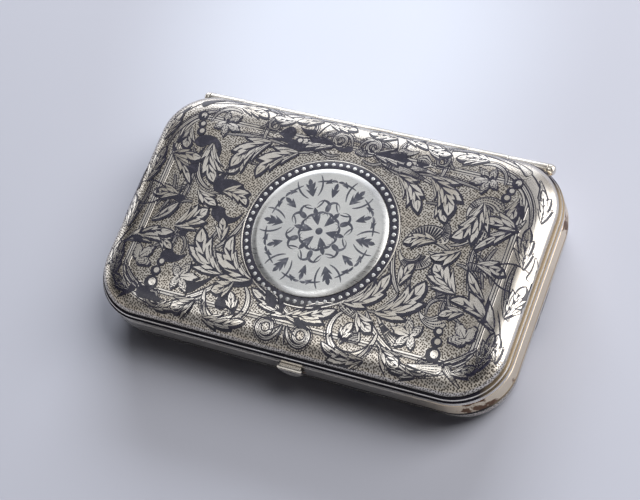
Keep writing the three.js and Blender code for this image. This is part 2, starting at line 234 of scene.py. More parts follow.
def slopedPlace(tree):
    # (x, y) on flat faces, (x, z) or (y, z) on steep ones, so that dots stay round on every side
    coordinates = tree.nodes.new("ShaderNodeTexCoord").outputs
    place = axesOf(tree, coordinates["Object"])
    slope = addNode(tree, "ShaderNodeVectorMath", {"operation": "ABSOLUTE"}, i0=coordinates["Normal"])
    slope = axesOf(tree, slope.outputs["Vector"])
    steep = maths(tree, "LESS_THAN", slope["Z"], groundFinish["steepUnder"])
    endwise = maths(tree, "GREATER_THAN", slope["X"], slope["Y"])
    first = mixNumber(tree, maths(tree, "MULTIPLY", steep, endwise), place["X"], place["Y"])
    second = mixNumber(tree, steep, place["Y"], place["Z"])
    return addNode(tree, "ShaderNodeCombineXYZ", X=first, Y=second).outputs["Vector"]


def stippledSilver():  # silver ground punched with rows of fine dots that hold the dark
    material, tree, shader, place = newMaterial("stippledSilver", groundFinish)
    rows = turnedPlace(tree, slopedPlace(tree), groundFinish["rowTurn"])
    dots = addNode(tree, "ShaderNodeTexVoronoi", {"voronoi_dimensions": "2D"}, Vector=rows,
                   Scale=1 / (groundFinish["pitch"] * mm),
                   Randomness=groundFinish["wander"]).outputs["Distance"]
    punched = remap(tree, dots, *groundFinish["dotEdge"], 1.0, 0.0)
    # the dark of the dots fades out over the right end and the back shoulder, ragged at its edge: partly a
    # worn plain margin, partly painted highlight where the window's light falls
    ragged = noiseAt(tree, place, groundFinish["raggedScale"], 3.0)
    ragged = maths(tree, "MULTIPLY", ragged, groundFinish["ragged"])
    away = axesOf(tree, place)
    right = remap(tree, maths(tree, "ADD", away["X"], ragged), *groundFinish["wornAndLitRight"])
    right = maths(tree, "MULTIPLY", right, remap(tree, away["Y"], *groundFinish["keptFront"]))
    back = remap(tree, maths(tree, "ADD", away["Y"], ragged), *groundFinish["wornAndLitBack"],
                 0.0, groundFinish["wornAndLitBackMost"])
    kept = maths(tree, "SUBTRACT", 1.0, maths(tree, "MAXIMUM", right, back))
    tones = grain(tree, place, **groundFinish["tones"])
    base = mixColour(tree, tones, groundFinish["colour"], groundFinish["toned"])
    paint(tree, shader, maths(tree, "MULTIPLY", punched, kept), base, groundFinish["hollow"])
    bumpOn(tree, shader, maths(tree, "MULTIPLY", dots, kept), *groundFinish["bump"])
    return material


nielloFinish = {"colour": (0.009, 0.009, 0.020), "worn": (0.040, 0.037, 0.056), "roughness": 0.27,
                "specular": 0.72}
plateNielloFinish = {"colour": (0.055, 0.058, 0.075), "worn": (0.20, 0.205, 0.23), "roughness": 0.4,
                     "specular": 0.35}
nielloWear = {"scale": 700.0, "low": 0.48, "high": 0.78, "detail": 4.0, "roughness": 0.65}
nielloBump = (0.3, 0.00002)


def nielloDark(name, finish):  # blue-black sulphide inlay, worn greyer in places
    material, tree, shader, place = newMaterial(name, finish, 0.0)
    wear = grain(tree, place, **nielloWear)
    paint(tree, shader, wear, finish["colour"], finish["worn"])
    bumpOn(tree, shader, wear, *nielloBump)
    return material


bandFinish = {
    # grey is the band's toning away from the right end, painted darker there as shade
    "colour": (0.77, 0.61, 0.42), "pale": (0.80, 0.69, 0.53), "grey": (0.50, 0.47, 0.43),
    "tarnish": (0.15, 0.075, 0.04), "roughness": 0.24, "tarnishRoughness": 0.25,
    "goldFrom": (0.022, 0.040), "flow": {"scale": 60.0, "low": 0.38, "high": 0.62, "detail": 3.0},
    "spots": {"scale": 130.0, "low": 0.66, "high": 0.72, "detail": 5.0, "roughness": 0.6},
    "stainedCorners": (((0.0405, -0.0240, 0.008), 0.013), ((0.0445, 0.020, 0.010), 0.012)),
    "stainCore": 0.3, "stainRaise": 0.34, "stainScale": 260.0, "stainEdge": (0.84, 0.90),
    "scuffScale": 2500.0, "bump": (0.12, 0.00001),
}


def tonedBand():  # plain silver, toned golden beige towards the right end, with brown tarnish spots
    material, tree, shader, place = newMaterial("tonedBand", bandFinish)
    flow = grain(tree, place, **bandFinish["flow"])
    base = mixColour(tree, flow, bandFinish["colour"], bandFinish["pale"])
    # golden towards the right end; elsewhere grey, a real toning in hue, painted darker as shade
    golden = remap(tree, axesOf(tree, place)["X"], *bandFinish["goldFrom"])
    base = mixColour(tree, golden, bandFinish["grey"], base)
    spots = grain(tree, place, **bandFinish["spots"])
    for corner, reach in bandFinish["stainedCorners"]:  # rubbed less than the rest
        away = distanceTo(tree, place, corner)
        near = remap(tree, away, bandFinish["stainCore"] * reach, reach, bandFinish["stainRaise"], 0.0)
        cloud = noiseAt(tree, place, bandFinish["stainScale"], 5.0, 0.6)
        stain = remap(tree, maths(tree, "ADD", cloud, near), *bandFinish["stainEdge"])
        spots = maths(tree, "MAXIMUM", spots, stain)
    paint(tree, shader, spots, base, bandFinish["tarnish"])
    rough = maths(tree, "MULTIPLY", spots, bandFinish["tarnishRoughness"])
    tree.links.new(maths(tree, "ADD", rough, bandFinish["roughness"]), shader.inputs["Roughness"])
    bumpOn(tree, shader, noiseAt(tree, place, bandFinish["scuffScale"], 3.0), *bandFinish["bump"])
    return material


plateFinish = {
    "colour": (0.83, 0.835, 0.83), "shade": (0.70, 0.71, 0.72), "roughness": 0.3,
    "flow": {"scale": 90.0, "low": 0.35, "high": 0.7},
    "scratches": {"turn": -0.3, "scale": (500.0, 9000.0, 500.0)},
    "scratchRange": (0.3, 0.75), "scratchRoughness": (0.26, 0.4), "bump": (0.2, 0.00001),
}


def satinPlate():  # bright satin silver with fine straight scratches
    material, tree, shader, place = newMaterial("satinPlate", plateFinish)
    flow = grain(tree, place, **plateFinish["flow"])
    paint(tree, shader, flow, plateFinish["colour"], plateFinish["shade"])
    scratches = noiseAt(tree, turnedPlace(tree, place, **plateFinish["scratches"]), 1.0, 3.0)
    rough = remap(tree, scratches, *plateFinish["scratchRange"], *plateFinish["scratchRoughness"])
    tree.links.new(rough, shader.inputs["Roughness"])
    bumpOn(tree, shader, scratches, *plateFinish["bump"])
    return material


giltFinish = {  # worn gilding inside the case
    "colour": (0.83, 0.66, 0.42), "stain": (0.66, 0.50, 0.31), "roughness": 0.3,
    "cloud": {"scale": 120.0, "low": 0.4, "high": 0.7, "detail": 4.0},
    "scuffScale": 3000.0, "bump": (0.15, 0.00001),
}
steelFinish = {  # dull spring steel with small stains
    "colour": (0.50, 0.49, 0.47), "stain": (0.22, 0.18, 0.15), "roughness": 0.38,
    "cloud": {"scale": 500.0, "low": 0.55, "high": 0.75, "detail": 4.0},
    "scuffScale": 4000.0, "bump": (0.2, 0.00001),
}


def cloudedMetal(name, finish):  # stained in soft clouds, with fine scuffs
    material, tree, shader, place = newMaterial(name, finish)
    paint(tree, shader, grain(tree, place, **finish["cloud"]), finish["colour"], finish["stain"])
    bumpOn(tree, shader, noiseAt(tree, place, finish["scuffScale"]), *finish["bump"])
    return material


grooveFinish = {
    "colour": (0.016, 0.014, 0.022), "rubbed": (0.24, 0.19, 0.13), "roughness": 0.40, "specular": 0.15,
    "rubbedFrom": (0.0435, 0.0458), "ragged": 0.0015, "raggedScale": 300.0,
}


def darkGroove():  # black in the reeding, rubbed down to golden metal along the right end
    material, tree, shader, place = newMaterial("darkGroove", grooveFinish, 0.0)
    ragged = noiseAt(tree, place, grooveFinish["raggedScale"], 3.0)
    ragged = maths(tree, "MULTIPLY", ragged, grooveFinish["ragged"])
    rubbed = remap(tree, maths(tree, "ADD", axesOf(tree, place)["X"], ragged), *grooveFinish["rubbedFrom"])
    paint(tree, shader, rubbed, grooveFinish["colour"], grooveFinish["rubbed"])
    tree.links.new(rubbed, shader.inputs["Metallic"])
    return material


finishes = {
    "silver": plainSilver(), "ground": stippledSilver(), "band": tonedBand(), "plate": satinPlate(),
    "niello": nielloDark("niello", nielloFinish), "groove": darkGroove(),
    "plate niello": nielloDark("plateNiello", plateNielloFinish),
    "gilt": cloudedMetal("innerGilt", giltFinish), "steel": cloudedMetal("springSteel", steelFinish),
}

# the floor colour holds a painted pool of light: paler round one point, the floor's own colour a little
# deeper beyond
floorFinish = {  # a pale pool of colour about paintedLightAt, and a little deeper beyond
    "pale": (0.61, 0.646, 0.74), "colour": (0.465, 0.478, 0.545), "roughness": 0.85, "specular": 0.2,
    "paintedLightAt": (-0.020, 0.055, 0.0), "from": 0.015, "to": 0.065, "halfSize": 2.5,
}
floorMaterial, floorTree, floorShader, floorPlace = newMaterial("paleFloor", floorFinish, 0.0)
# painted pool of light: the floor's colour pales towards that point
floorAway = distanceTo(floorTree, floorPlace, floorFinish["paintedLightAt"])
paint(floorTree, floorShader, remap(floorTree, floorAway, floorFinish["from"], floorFinish["to"]),
      floorFinish["pale"], floorFinish["colour"])
floorHalf = floorFinish["halfSize"]
floorCorners = [(x * floorHalf, y * floorHalf, 0) for x, y in ((-1, -1), (1, -1), (1, 1), (-1, 1))]
floorMesh = bpy.data.meshes.new("floor")
floorMesh.from_pydata(floorCorners, [], [(0, 1, 2, 3)])
floorMesh.materials.append(floorMaterial)
floorObject = bpy.data.objects.new("floor", floorMesh)
scene.collection.objects.link(floorObject)

# The sky is bright about one high direction and dim towards the front and the horizon; gloss sees the room
skyTree = world.node_tree
skyWay = skyTree.nodes.new("ShaderNodeTexCoord").outputs["Generated"]
rayKind = skyTree.nodes.new("ShaderNodeLightPath").outputs


def towards(axis, low, high):  # 0 outside the patch about the axis, 1 inside it
    unit = tuple(np.array(axis) / np.linalg.norm(axis))
    cosine = addNode(skyTree, "ShaderNodeVectorMath", {"operation": "DOT_PRODUCT"}, i0=skyWay, i1=unit)
    return remap(skyTree, cosine.outputs["Value"], low, high)


skyColour = mixColour(skyTree, towards(skyLight["axis"], skyLight["from"], skyLight["to"]),
                      skyLight["low"], skyLight["high"])
roomColour = roomWalls
for axis, low, high, colour in roomPatches.values():
    roomColour = mixColour(skyTree, towards(axis, low, high), roomColour, colour)
skyColour = mixColour(skyTree, rayKind["Is Glossy Ray"], skyColour, roomColour)
skyColour = mixColour(skyTree, rayKind["Is Camera Ray"], skyColour, skyLight["behind"])
skyTree.links.new(skyColour, skyTree.nodes["Background"].inputs["Color"])
print("finishes made")


# Grids into pieces

def gridQuads(rows, columns, wrapRows=False, wrapColumns=False, start=0):
    # each quad joins a grid point to its next column and its next row
    r, c = np.meshgrid(np.arange(rows if wrapRows else rows - 1),
                       np.arange(columns if wrapColumns else columns - 1), indexing="ij")
    nextR, nextC = (r + 1) % rows, (c + 1) % columns
    corners = [r * columns + c, r * columns + nextC, nextR * columns + nextC, nextR * columns + c]
    return start + np.stack(corners, -1).reshape(-1, 4)


def stackGrids(grids, wrapRows=False, wrapColumns=False):
    # all grids of one piece in one list of points and one list of quads
    points, quads, start = [], [], 0
    for grid in grids:
        rows, columns = grid.shape[:2]
        points.append(grid.reshape(-1, 3))
        quads.append(gridQuads(rows, columns, wrapRows, wrapColumns, start))
        start += rows * columns
    return np.concatenate(points), np.concatenate(quads)


pieceRules = {"mergeWithin": 0.0015, "innerSlope": -0.02}


def addPiece(name, points, quads, finish, body, slotName, closed=True, sharp=40.0, thickness=0.0,
             replaced=(), flat=False, outside=0):
    mesh = bpy.data.meshes.new(name)
    mesh.from_pydata((np.asarray(points) * mm).tolist(), [], np.asarray(quads).tolist())
    form = bmesh.new()
    form.from_mesh(mesh)
    bmesh.ops.remove_doubles(form, verts=form.verts, dist=pieceRules["mergeWithin"] * mm)
    if closed:
        bmesh.ops.recalc_face_normals(form, faces=form.faces)
    form.to_mesh(mesh)
    form.free()
    mesh.materials.append(finishes[finish])
    if outside:  # a shell: faces that look the other way than its outside, up or down, are gilt
        mesh.materials.append(finishes["gilt"])
        normals = np.empty(3 * len(mesh.polygons))
        mesh.polygons.foreach_get("normal", normals)
        inner = normals[2::3] * outside < pieceRules["innerSlope"]
        mesh.polygons.foreach_set("material_index", inner.astype(np.int32))
    if flat:
        mesh.shade_flat()
    else:
        mesh.shade_smooth()
        mesh.set_sharp_from_angle(angle=math.radians(sharp))
    piece = bpy.data.objects.new(name, mesh)
    scene.collection.objects.link(piece)
    if thickness:
        wall = piece.modifiers.new("wall", "SOLIDIFY")
        wall.thickness = thickness * mm
        wall.offset = -1
    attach(piece, body)
    if replaced:
        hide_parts(*replaced)
    return piece


def addLaid(name, grids, finish, body, slotName, thickness, engraved=False):
    # thin sheets laid on a face: closed bands, or engraved shapes with two free sides and flat facets
    addPiece(name, *stackGrids(grids, wrapColumns=not engraved), finish, body, slotName, closed=False,
             thickness=thickness, flat=engraved)


# The case outline and its curved faces

caseForm = {
    "halfLength": 47.25, "halfWidth": 27.75, "corner": 12.0, "cornerSteps": 30,
    "parting": 11.4, "wall": 1.5, "sheet": 0.95,
    "panelEnd": 7.25, "panelSide": 6.85, "panelShift": -0.45,
}
lidForm = {"foot": 14.4, "footInset": 0.9, "panel": 17.45, "power": 2.0, "crown": 1.0, "crownPower": 4.0}
baseForm = {"foot": 5.8, "footInset": 0.3, "panel": 0.15, "power": 2.4, "crown": 0.0, "crownPower": 4.0}
faceRules = {"halvings": 24, "probe": 0.03, "steepest": 4.0, "margin": 0.12}
shellRows = {"shoulder": 27, "panel": 27, "seat": 11, "innerShoulder": 17, "innerPanel": 14,
             "innerPanelFrom": 1.05, "seatPast": 0.3}
plateForm = {
    "centre": (0.0, -0.45), "seatZ": 18.45, "radius": 14.9, "field": 13.6, "top": 19.0,
    "ringInner": 15.05, "ringOuter": 17.4, "flatTo": 13.45, "fieldEdge": 18.99, "bevelWidth": 1.22,
    "bevelDrop": 0.34, "bevelPower": 1.4, "rimTop": 18.6, "rimFoot": 18.47, "underRadius": 14.5,
    "flatRadii": (6.0, 12.0), "bevelSteps": 9,
}


def ringStations(frontStops=()):
    # corner stops by angle, and stops on the front side by their x, anticlockwise from the right end
    steps = np.linspace(0, math.pi / 2, caseForm["cornerSteps"] + 1)
    none = np.full(steps.size, np.nan)
    rows = []
    for corner, (signX, signY) in enumerate(((1, 1), (-1, 1), (-1, -1), (1, -1))):
        angle = steps + corner * math.pi / 2
        rows.append(np.stack([np.full(steps.size, signX), np.full(steps.size, signY), angle, none], 1))
        if corner == 2 and frontStops:
            rows.append(np.array([[1, -1, 1.5 * math.pi, x] for x in sorted(frontStops)], float))
    return np.concatenate(rows)


def ringPoints(stations, endInset, sideInset, shift=0.0, scale=1.0):
    # a rounded rectangle drawn in by its insets: corner centre plus radius times the angle's direction
    endInset, sideInset, shift, scale = [np.asarray(v, float)[..., None] for v in
                                         (endInset, sideInset, shift, scale)]
    signX, signY, angle, stop = stations.T
    halfX = (caseForm["halfLength"] - endInset) * scale
    halfY = (caseForm["halfWidth"] - sideInset) * scale
    radius = (caseForm["corner"] - (endInset + sideInset) / 2) * scale
    x = signX * (halfX - radius) + radius * np.cos(angle)
    x = np.where(np.isnan(stop), x, stop)
    y = signY * (halfY - radius) + radius * np.sin(angle) + shift
    return x, y


def ringGap(x, y, endInset, sideInset, shift, scale):
    # signed distance of a plan point from that rounded rectangle, negative inside
    halfX = (caseForm["halfLength"] - endInset) * scale
    halfY = (caseForm["halfWidth"] - sideInset) * scale
    radius = (caseForm["corner"] - (endInset + sideInset) / 2) * scale
    overX = np.abs(x) - (halfX - radius)
    overY = np.abs(y - shift) - (halfY - radius)
    outside = np.hypot(np.maximum(overX, 0), np.maximum(overY, 0))
    return outside + np.minimum(np.maximum(overX, overY), 0) - radius


def faceRing(form, way, extra=0.0, wallInset=None):
    # way 0 to 1 rolls the superelliptic shoulder, 1 to 2 draws the crown in to its middle
    way = np.asarray(way, float)
    roll = np.clip(way, 0, 1) * math.pi / 2
    scale = np.clip(2 - way, 1e-6, 1)
    inward = 1 - np.clip(np.cos(roll), 0, 1) ** (2 / form["power"])
    across = np.sin(roll) ** (2 / form["power"])
    foot = form["footInset"] if wallInset is None else wallInset
    sign = 1 if form["panel"] > form["foot"] else -1
    panel = form["panel"] - sign * extra
    endInset = foot + inward * (caseForm["panelEnd"] + extra - foot)
    sideInset = foot + inward * (caseForm["panelSide"] + extra - foot)
    z = form["foot"] + across * (panel - form["foot"]) + form["crown"] * (1 - scale ** form["crownPower"])
    return endInset, sideInset, inward * caseForm["panelShift"], scale, z


def faceHeight(form, x, y):
    # height over a plan point: halving finds the ring that the point lies on
    low, high = np.zeros(np.shape(x)), np.full(np.shape(x), 2.0)
    for _ in range(faceRules["halvings"]):
        middle = (low + high) / 2
        inside = ringGap(x, y, *faceRing(form, middle)[:4]) < 0
        low, high = np.where(inside, middle, low), np.where(inside, high, middle)
    z = faceRing(form, (low + high) / 2)[4]
    if form["crown"] > 0:  # the crown levels off into the flat seat of the round plate
        away = np.hypot(x - plateForm["centre"][0], y - plateForm["centre"][1])
        t = np.clip((plateForm["ringOuter"] - away) / (plateForm["ringOuter"] - plateForm["ringInner"]), 0, 1)
        z = z + t * t * (3 - 2 * t) * (plateForm["seatZ"] - z)
    return z


def keptInside(form, x, y):
    # points past the foot of the shoulder move back along the outline's normal, to the margin inside it
    halfX, halfY = caseForm["halfLength"] - form["footInset"], caseForm["halfWidth"] - form["footInset"]
    radius = caseForm["corner"] - form["footInset"]
    overX, overY = np.abs(x) - (halfX - radius), np.abs(y) - (halfY - radius)
    normalX = np.where(overY > 0, np.maximum(overX, 0), np.where(overX > overY, 1, 0))
    normalY = np.where(overX > 0, np.maximum(overY, 0), np.where(overX > overY, 0, 1))
    size = np.maximum(np.hypot(normalX, normalY), 1e-9)
    gap = ringGap(x, y, form["footInset"], form["footInset"], 0.0, 1.0)
    past = np.maximum(gap + faceRules["margin"], 0)
    return x - np.sign(x) * past * normalX / size, y - np.sign(y) * past * normalY / size


def laidOn(form, x, y, lift):
    # a plan point raised off the face by lift, measured square to the slope
    x, y = keptInside(form, x, y)
    step = faceRules["probe"]
    z = faceHeight(form, x, y)
    slopeX = (faceHeight(form, x + step, y) - z) / step
    slopeY = (faceHeight(form, x, y + step) - z) / step
    sign = 1 if form["panel"] > form["foot"] else -1
    steep = np.minimum(np.sqrt(1 + slopeX ** 2 + slopeY ** 2), faceRules["steepest"])
    return np.stack([x, y, z + sign * lift * steep], -1)


def rowsOf(stations, form, ways, extra=0.0, wallInset=None):
    # one row of ring points for each way across the face
    endInset, sideInset, shift, scale, z = faceRing(form, ways, extra, wallInset)
    x, y = ringPoints(stations, endInset, sideInset, shift, scale)
    return np.stack([x, y, np.broadcast_to(z[:, None], x.shape)], -1)


plainStations = ringStations()


def coverShell(form):
    # outer face from the middle out and over the shoulder, then back inside under the sheet
    outer = rowsOf(plainStations, form, np.linspace(0, 1, shellRows["shoulder"]))
    border = outer[-1]
    centre = np.array(plateForm["centre"])
    direction = border[:, :2] - centre
    direction /= np.linalg.norm(direction, axis=1)[:, None]
    rows = [outer]
    if form["crown"] > 0:
        circle = centre + direction * plateForm["ringOuter"]
        blend = np.linspace(0, 1, shellRows["panel"])[1:, None, None]
        across = border[None, :, :2] * (1 - blend) + circle[None] * blend
        seatEnd = plateForm["ringInner"] - shellRows["seatPast"]
        radii = np.linspace(plateForm["ringOuter"], seatEnd, shellRows["seat"])[1:, None, None]
        plan = np.concatenate([across, centre + direction[None] * radii])
        rows.append(np.concatenate([plan, faceHeight(form, plan[..., 0], plan[..., 1])[..., None]], -1))
        hub = [*centre, plateForm["seatZ"]]
    else:
        hub = [0.0, caseForm["panelShift"], form["panel"]]
    rows.append(np.broadcast_to(np.array(hub), (1, len(plainStations), 3)))
    ways = np.concatenate([np.linspace(0, 1, shellRows["innerShoulder"]),
                           np.linspace(shellRows["innerPanelFrom"], 2, shellRows["innerPanel"])])
    inner = rowsOf(plainStations, form, ways, caseForm["sheet"], caseForm["wall"])
    return np.concatenate([np.concatenate(rows)[::-1], inner])


for pieceName, form, body, slotName, node, outside in (
        ("lid_cover_shell", lidForm, "lid", "silver", "lid_cover", 1),
        ("base_pan_shell", baseForm, "base", "toned_silver", "base_pan", -1)):
    addPiece(pieceName, *stackGrids([coverShell(form)], wrapColumns=True), "ground", body, slotName,
             replaced=(node,), outside=outside)
print("shells made")


# Reeded lid rim and base band, profiles carried round the outline

rimForm = {"height": 3.0, "edge": 0.3, "leanFrom": 1.4, "lean": 0.9, "leanPower": 1.3,
           "grooves": ((1.72, 0.40, 0.13), (2.65, 0.43, 0.14))}  # each one's height, depth and width
bandForm = {"height": 5.6, "edge": 0.3, "leanFrom": 4.2, "lean": 0.3, "leanPower": 1.3,
            "grooves": ((4.5, 0.40, 0.12), (5.3, 0.34, 0.11))}
rimRows = {"edge": 8, "hollow": 14, "reeds": 60, "lipBack": 0.2}
hingeForm = {
    "y": 27.95, "z": 11.4, "halfLength": 40.0, "channel": 1.5, "radius": 1.2, "bore": 0.65, "soft": 0.12,
    "gap": 0.3, "joint": 0.12, "count": 9, "pin": 0.5, "cap": 1.38, "capRound": 0.85, "capPoint": 0.02,
    "softSteps": 5, "capSteps": 9,
}
slotForm = {"left": -0.85, "right": 4.45, "floor": 9.0}


def reedInset(form, h):
    # rounded mouth edge, then a lean, plus a bell-shaped dip at each groove
    edge = form["edge"]
    rounded = edge - np.sqrt(np.maximum(edge ** 2 - np.maximum(edge - h, 0) ** 2, 0))
    upTo = np.clip((h - form["leanFrom"]) / (form["height"] - form["leanFrom"]), 0, 1)
    lean = form["lean"] * upTo ** form["leanPower"]
    dips = sum(depth * np.exp(-((h - at) / width) ** 2) for at, depth, width in form["grooves"])
    return rounded + lean + dips


def rimSweep(form, sign, slotted):
    # closed section (inset, z) carried round: mouth edge, outer reeds, far edge, inner wall;
    # the hinge barrel's round hollow cuts the back off at y = axis - sqrt(channel^2 - h^2)
    wall = caseForm["wall"]
    low = np.linspace(0, form["edge"], rimRows["edge"])
    middle = np.linspace(form["edge"], hingeForm["channel"], rimRows["hollow"])[1:]
    upper = np.linspace(hingeForm["channel"], form["height"], rimRows["reeds"])[1:]
    h = np.concatenate([low, middle, upper])
    inset = np.concatenate([[wall, wall - rimRows["lipBack"]], reedInset(form, h), [wall]])
    h = np.concatenate([[0, 0], h, [form["height"]]])
    stops = [slotForm["left"]] * 2 + [slotForm["right"]] * 2 if slotted else []
    stations = ringStations(stops)
    x, y = ringPoints(stations, inset, inset)
    limit = hingeForm["y"] - np.sqrt(np.maximum(hingeForm["channel"] ** 2 - h ** 2, 0))
    y = np.where(h[:, None] < hingeForm["channel"], np.minimum(y, limit[:, None]), y)
    z = np.broadcast_to(caseForm["parting"] + sign * h[:, None], x.shape).copy()
    if slotted:
        cut = np.nonzero(~np.isnan(stations[:, 3]))[0][1:3]
        z[:, cut] = np.minimum(z[:, cut], slotForm["floor"])
    return np.stack([x, y, z], -1)


grooveLine = {"halfWidth": 0.33, "lift": 0.02, "samples": 31, "thickness": 0.03}


def grooveStrip(form, sign, at):
    # a thin dark strip that follows the reeded profile across one groove, closed round the case
    h = at + np.linspace(-grooveLine["halfWidth"], grooveLine["halfWidth"], grooveLine["samples"])
    inset = reedInset(form, h) - grooveLine["lift"]
    x, y = ringPoints(plainStations, inset, inset)
    z = np.broadcast_to((caseForm["parting"] + sign * h)[:, None], x.shape)
    return np.stack([x, y, z], -1)[::sign]


addPiece("lid_rim_reeded", *stackGrids([rimSweep(rimForm, 1, False)], True, True), "silver", "lid", "silver",
         sharp=50.0, replaced=("lid_rim",))
addPiece("base_band_plain", *stackGrids([rimSweep(bandForm, -1, True)], True, True), "band", "base",
         "golden_silver", sharp=50.0, replaced=("base_band",))
for pieceName, form, sign, body, slotName in (
        ("lid_rim_niello", rimForm, 1, "lid", "silver"),
        ("base_band_niello", bandForm, -1, "base", "golden_silver")):
    strips = [grooveStrip(form, sign, at) for at, _depth, _width in form["grooves"]]
    addLaid(pieceName, strips, "groove", body, slotName, grooveLine["thickness"])
print("rims made")


# Hinge: knuckles, pin and caps turned along X

def turnedAlong(profile, start, steps=40):
    # radius carried round the hinge axis, distance along X from start
    along, radius = np.asarray(profile, float).T
    angle = np.linspace(0, 2 * math.pi, steps, endpoint=False)
    x = np.broadcast_to(start + along[:, None], (along.size, steps))
    y = hingeForm["y"] + radius[:, None] * np.cos(angle)
    z = hingeForm["z"] + radius[:, None] * np.sin(angle)
    return np.stack([x, y, z], -1)


def knuckleProfile(length):
    # a short tube with softened end edges
    r, bore, soft = hingeForm["radius"], hingeForm["bore"], hingeForm["soft"]
    turn = np.linspace(0, math.pi / 2, hingeForm["softSteps"])
    left = [(soft - soft * math.cos(a), r - soft + soft * math.sin(a)) for a in turn]
    right = [(length - soft + soft * math.sin(a), r - soft + soft * math.cos(a)) for a in turn]
    return [(0, bore), *left, *right, (length, bore)]


pitch = (2 * hingeForm["halfLength"] + hingeForm["gap"]) / hingeForm["count"]
for index in range(hingeForm["count"]):
    owner = "lid" if index % 2 else "base"
    number = index // 2 + 1
    start = -hingeForm["halfLength"] + index * pitch - hingeForm["joint"]
    knuckle = turnedAlong(knuckleProfile(pitch - hingeForm["gap"] + 2 * hingeForm["joint"]), start)
    addPiece(f"{owner}_knuckle_turned_{number}", *stackGrids([knuckle], True, True), "silver", owner,
             "golden_silver" if owner == "base" else "silver", replaced=(f"{owner}_knuckle_{number}",))


def capProfile():
    # a short drum whose outer edge is rounded over as a quarter circle
    edge = hingeForm["capRound"]
    core = hingeForm["radius"] - edge
    rounded = [(hingeForm["cap"] - edge * (1 - math.sin(a)), core + edge * math.cos(a))
               for a in np.linspace(0, math.pi / 2, hingeForm["capSteps"])]
    return [(0, axisRadius), (0, hingeForm["radius"]), *rounded,
            (hingeForm["cap"] + hingeForm["capPoint"], axisRadius)]


axisRadius = 1e-4  # closes a turned end on its axis
pinEnd = hingeForm["halfLength"] + hingeForm["gap"]
for side, name in ((1, "right"), (-1, "left")):
    cap = turnedAlong([(side * a, r) for a, r in capProfile()], side * pinEnd)
    addPiece(f"hinge_cap_{name}_domed", *stackGrids([cap], False, True), "silver", "base", "golden_silver",
             replaced=(f"hinge_cap_{name}",))
pinProfile = [(-pinEnd, axisRadius), (-pinEnd, hingeForm["pin"]), (pinEnd, hingeForm["pin"]),
              (pinEnd, axisRadius)]
addPiece("hinge_pin_turned", *stackGrids([turnedAlong(pinProfile, 0.0)], False, True), "steel", "base",
         "steel", replaced=("hinge_pin",))
print("hinge made")


# Thumb piece: a half moon with a rounded lip on a broad neck that fills the notch in the band

thumbForm = {
    "x": 1.8, "top": 11.0, "width": 5.7, "height": 3.1, "front": -29.15, "back": -28.40, "middleDown": 1.2,
    "bellyPower": 0.7, "round": 0.42, "drawnIn": 0.22, "backShare": 0.94, "backEdge": 0.08,
    "dishShare": 0.4, "dishDepths": (0.05, 0.08),
    "neckWidth": 4.9, "neckFoot": 9.3, "neckEnd": -25.0, "neckInto": 0.2,
    "topSteps": 17, "bellySteps": 49, "roundSteps": 7,
}
closedShare = 1e-3  # a loop drawn in this far closes the slab


def facePlate(loop, layers, centre):
    # closed slab along Y: the loop (x, z) drawn in about its centre by each layer's share, at the layer's y
    shares, depths = np.asarray(layers, float).T
    x = centre[0] + shares[:, None] * (loop[:, 0] - centre[0])
    z = centre[1] + shares[:, None] * (loop[:, 1] - centre[1])
    return np.stack([x, np.broadcast_to(depths[:, None], x.shape), z], -1)


def halfMoon():
    # under its straight top edge the half moon hangs as a power of the sine; its lip is a quarter round
    turn = np.linspace(math.pi, 2 * math.pi, thumbForm["bellySteps"])[1:-1]
    straight = thumbForm["width"] * np.linspace(0.5, -0.5, thumbForm["topSteps"])
    belly = -thumbForm["height"] * np.abs(np.sin(turn)) ** thumbForm["bellyPower"]
    loop = np.concatenate([np.stack([straight, np.zeros(straight.size)], 1),
                           np.stack([thumbForm["width"] / 2 * np.cos(turn), belly], 1)])
    back, front = thumbForm["back"], thumbForm["front"]
    layers = [(closedShare, back), (thumbForm["backShare"], back), (1.0, back - thumbForm["backEdge"])]
    layers += [(1 - thumbForm["drawnIn"] * (1 - math.cos(a)), front + thumbForm["round"] * (1 - math.sin(a)))
               for a in np.linspace(0, math.pi / 2, thumbForm["roundSteps"])]
    layers += [(thumbForm["dishShare"], front + thumbForm["dishDepths"][0]),
               (closedShare, front + thumbForm["dishDepths"][1])]
    return facePlate(loop + (thumbForm["x"], thumbForm["top"]), layers,
                     (thumbForm["x"], thumbForm["top"] - thumbForm["middleDown"]))


def thumbNeck():
    half, top, foot = thumbForm["neckWidth"] / 2, thumbForm["top"], thumbForm["neckFoot"]
    loop = np.array([(half, top), (-half, top), (-half, foot), (half, foot)]) + (thumbForm["x"], 0.0)
    end, into = thumbForm["neckEnd"], thumbForm["back"] - thumbForm["neckInto"]
    layers = [(closedShare, end), (1.0, end), (1.0, into), (closedShare, into)]
    return facePlate(loop, layers, (thumbForm["x"], (top + foot) / 2))


thumbPoints, thumbQuads = stackGrids([halfMoon()], wrapColumns=True)
neckPoints, neckQuads = stackGrids([thumbNeck()], wrapColumns=True)
addPiece("thumb_piece_half_moon", np.concatenate([thumbPoints, neckPoints]),
         np.concatenate([thumbQuads, neckQuads + len(thumbPoints)]), "band", "catch", "bright_silver",
         replaced=("thumb_piece",))
print("thumb piece made")


# Round plate and the pearled niello ring about it

def roundGrid(radii, heights, centre, steps=144):
    # circles of the given radii at the given heights
    angle = np.linspace(0, 2 * math.pi, steps, endpoint=False)
    x = centre[0] + np.asarray(radii)[:, None] * np.cos(angle)
    y = centre[1] + np.asarray(radii)[:, None] * np.sin(angle)
    return np.stack([x, y, np.broadcast_to(np.asarray(heights)[:, None], x.shape)], -1)


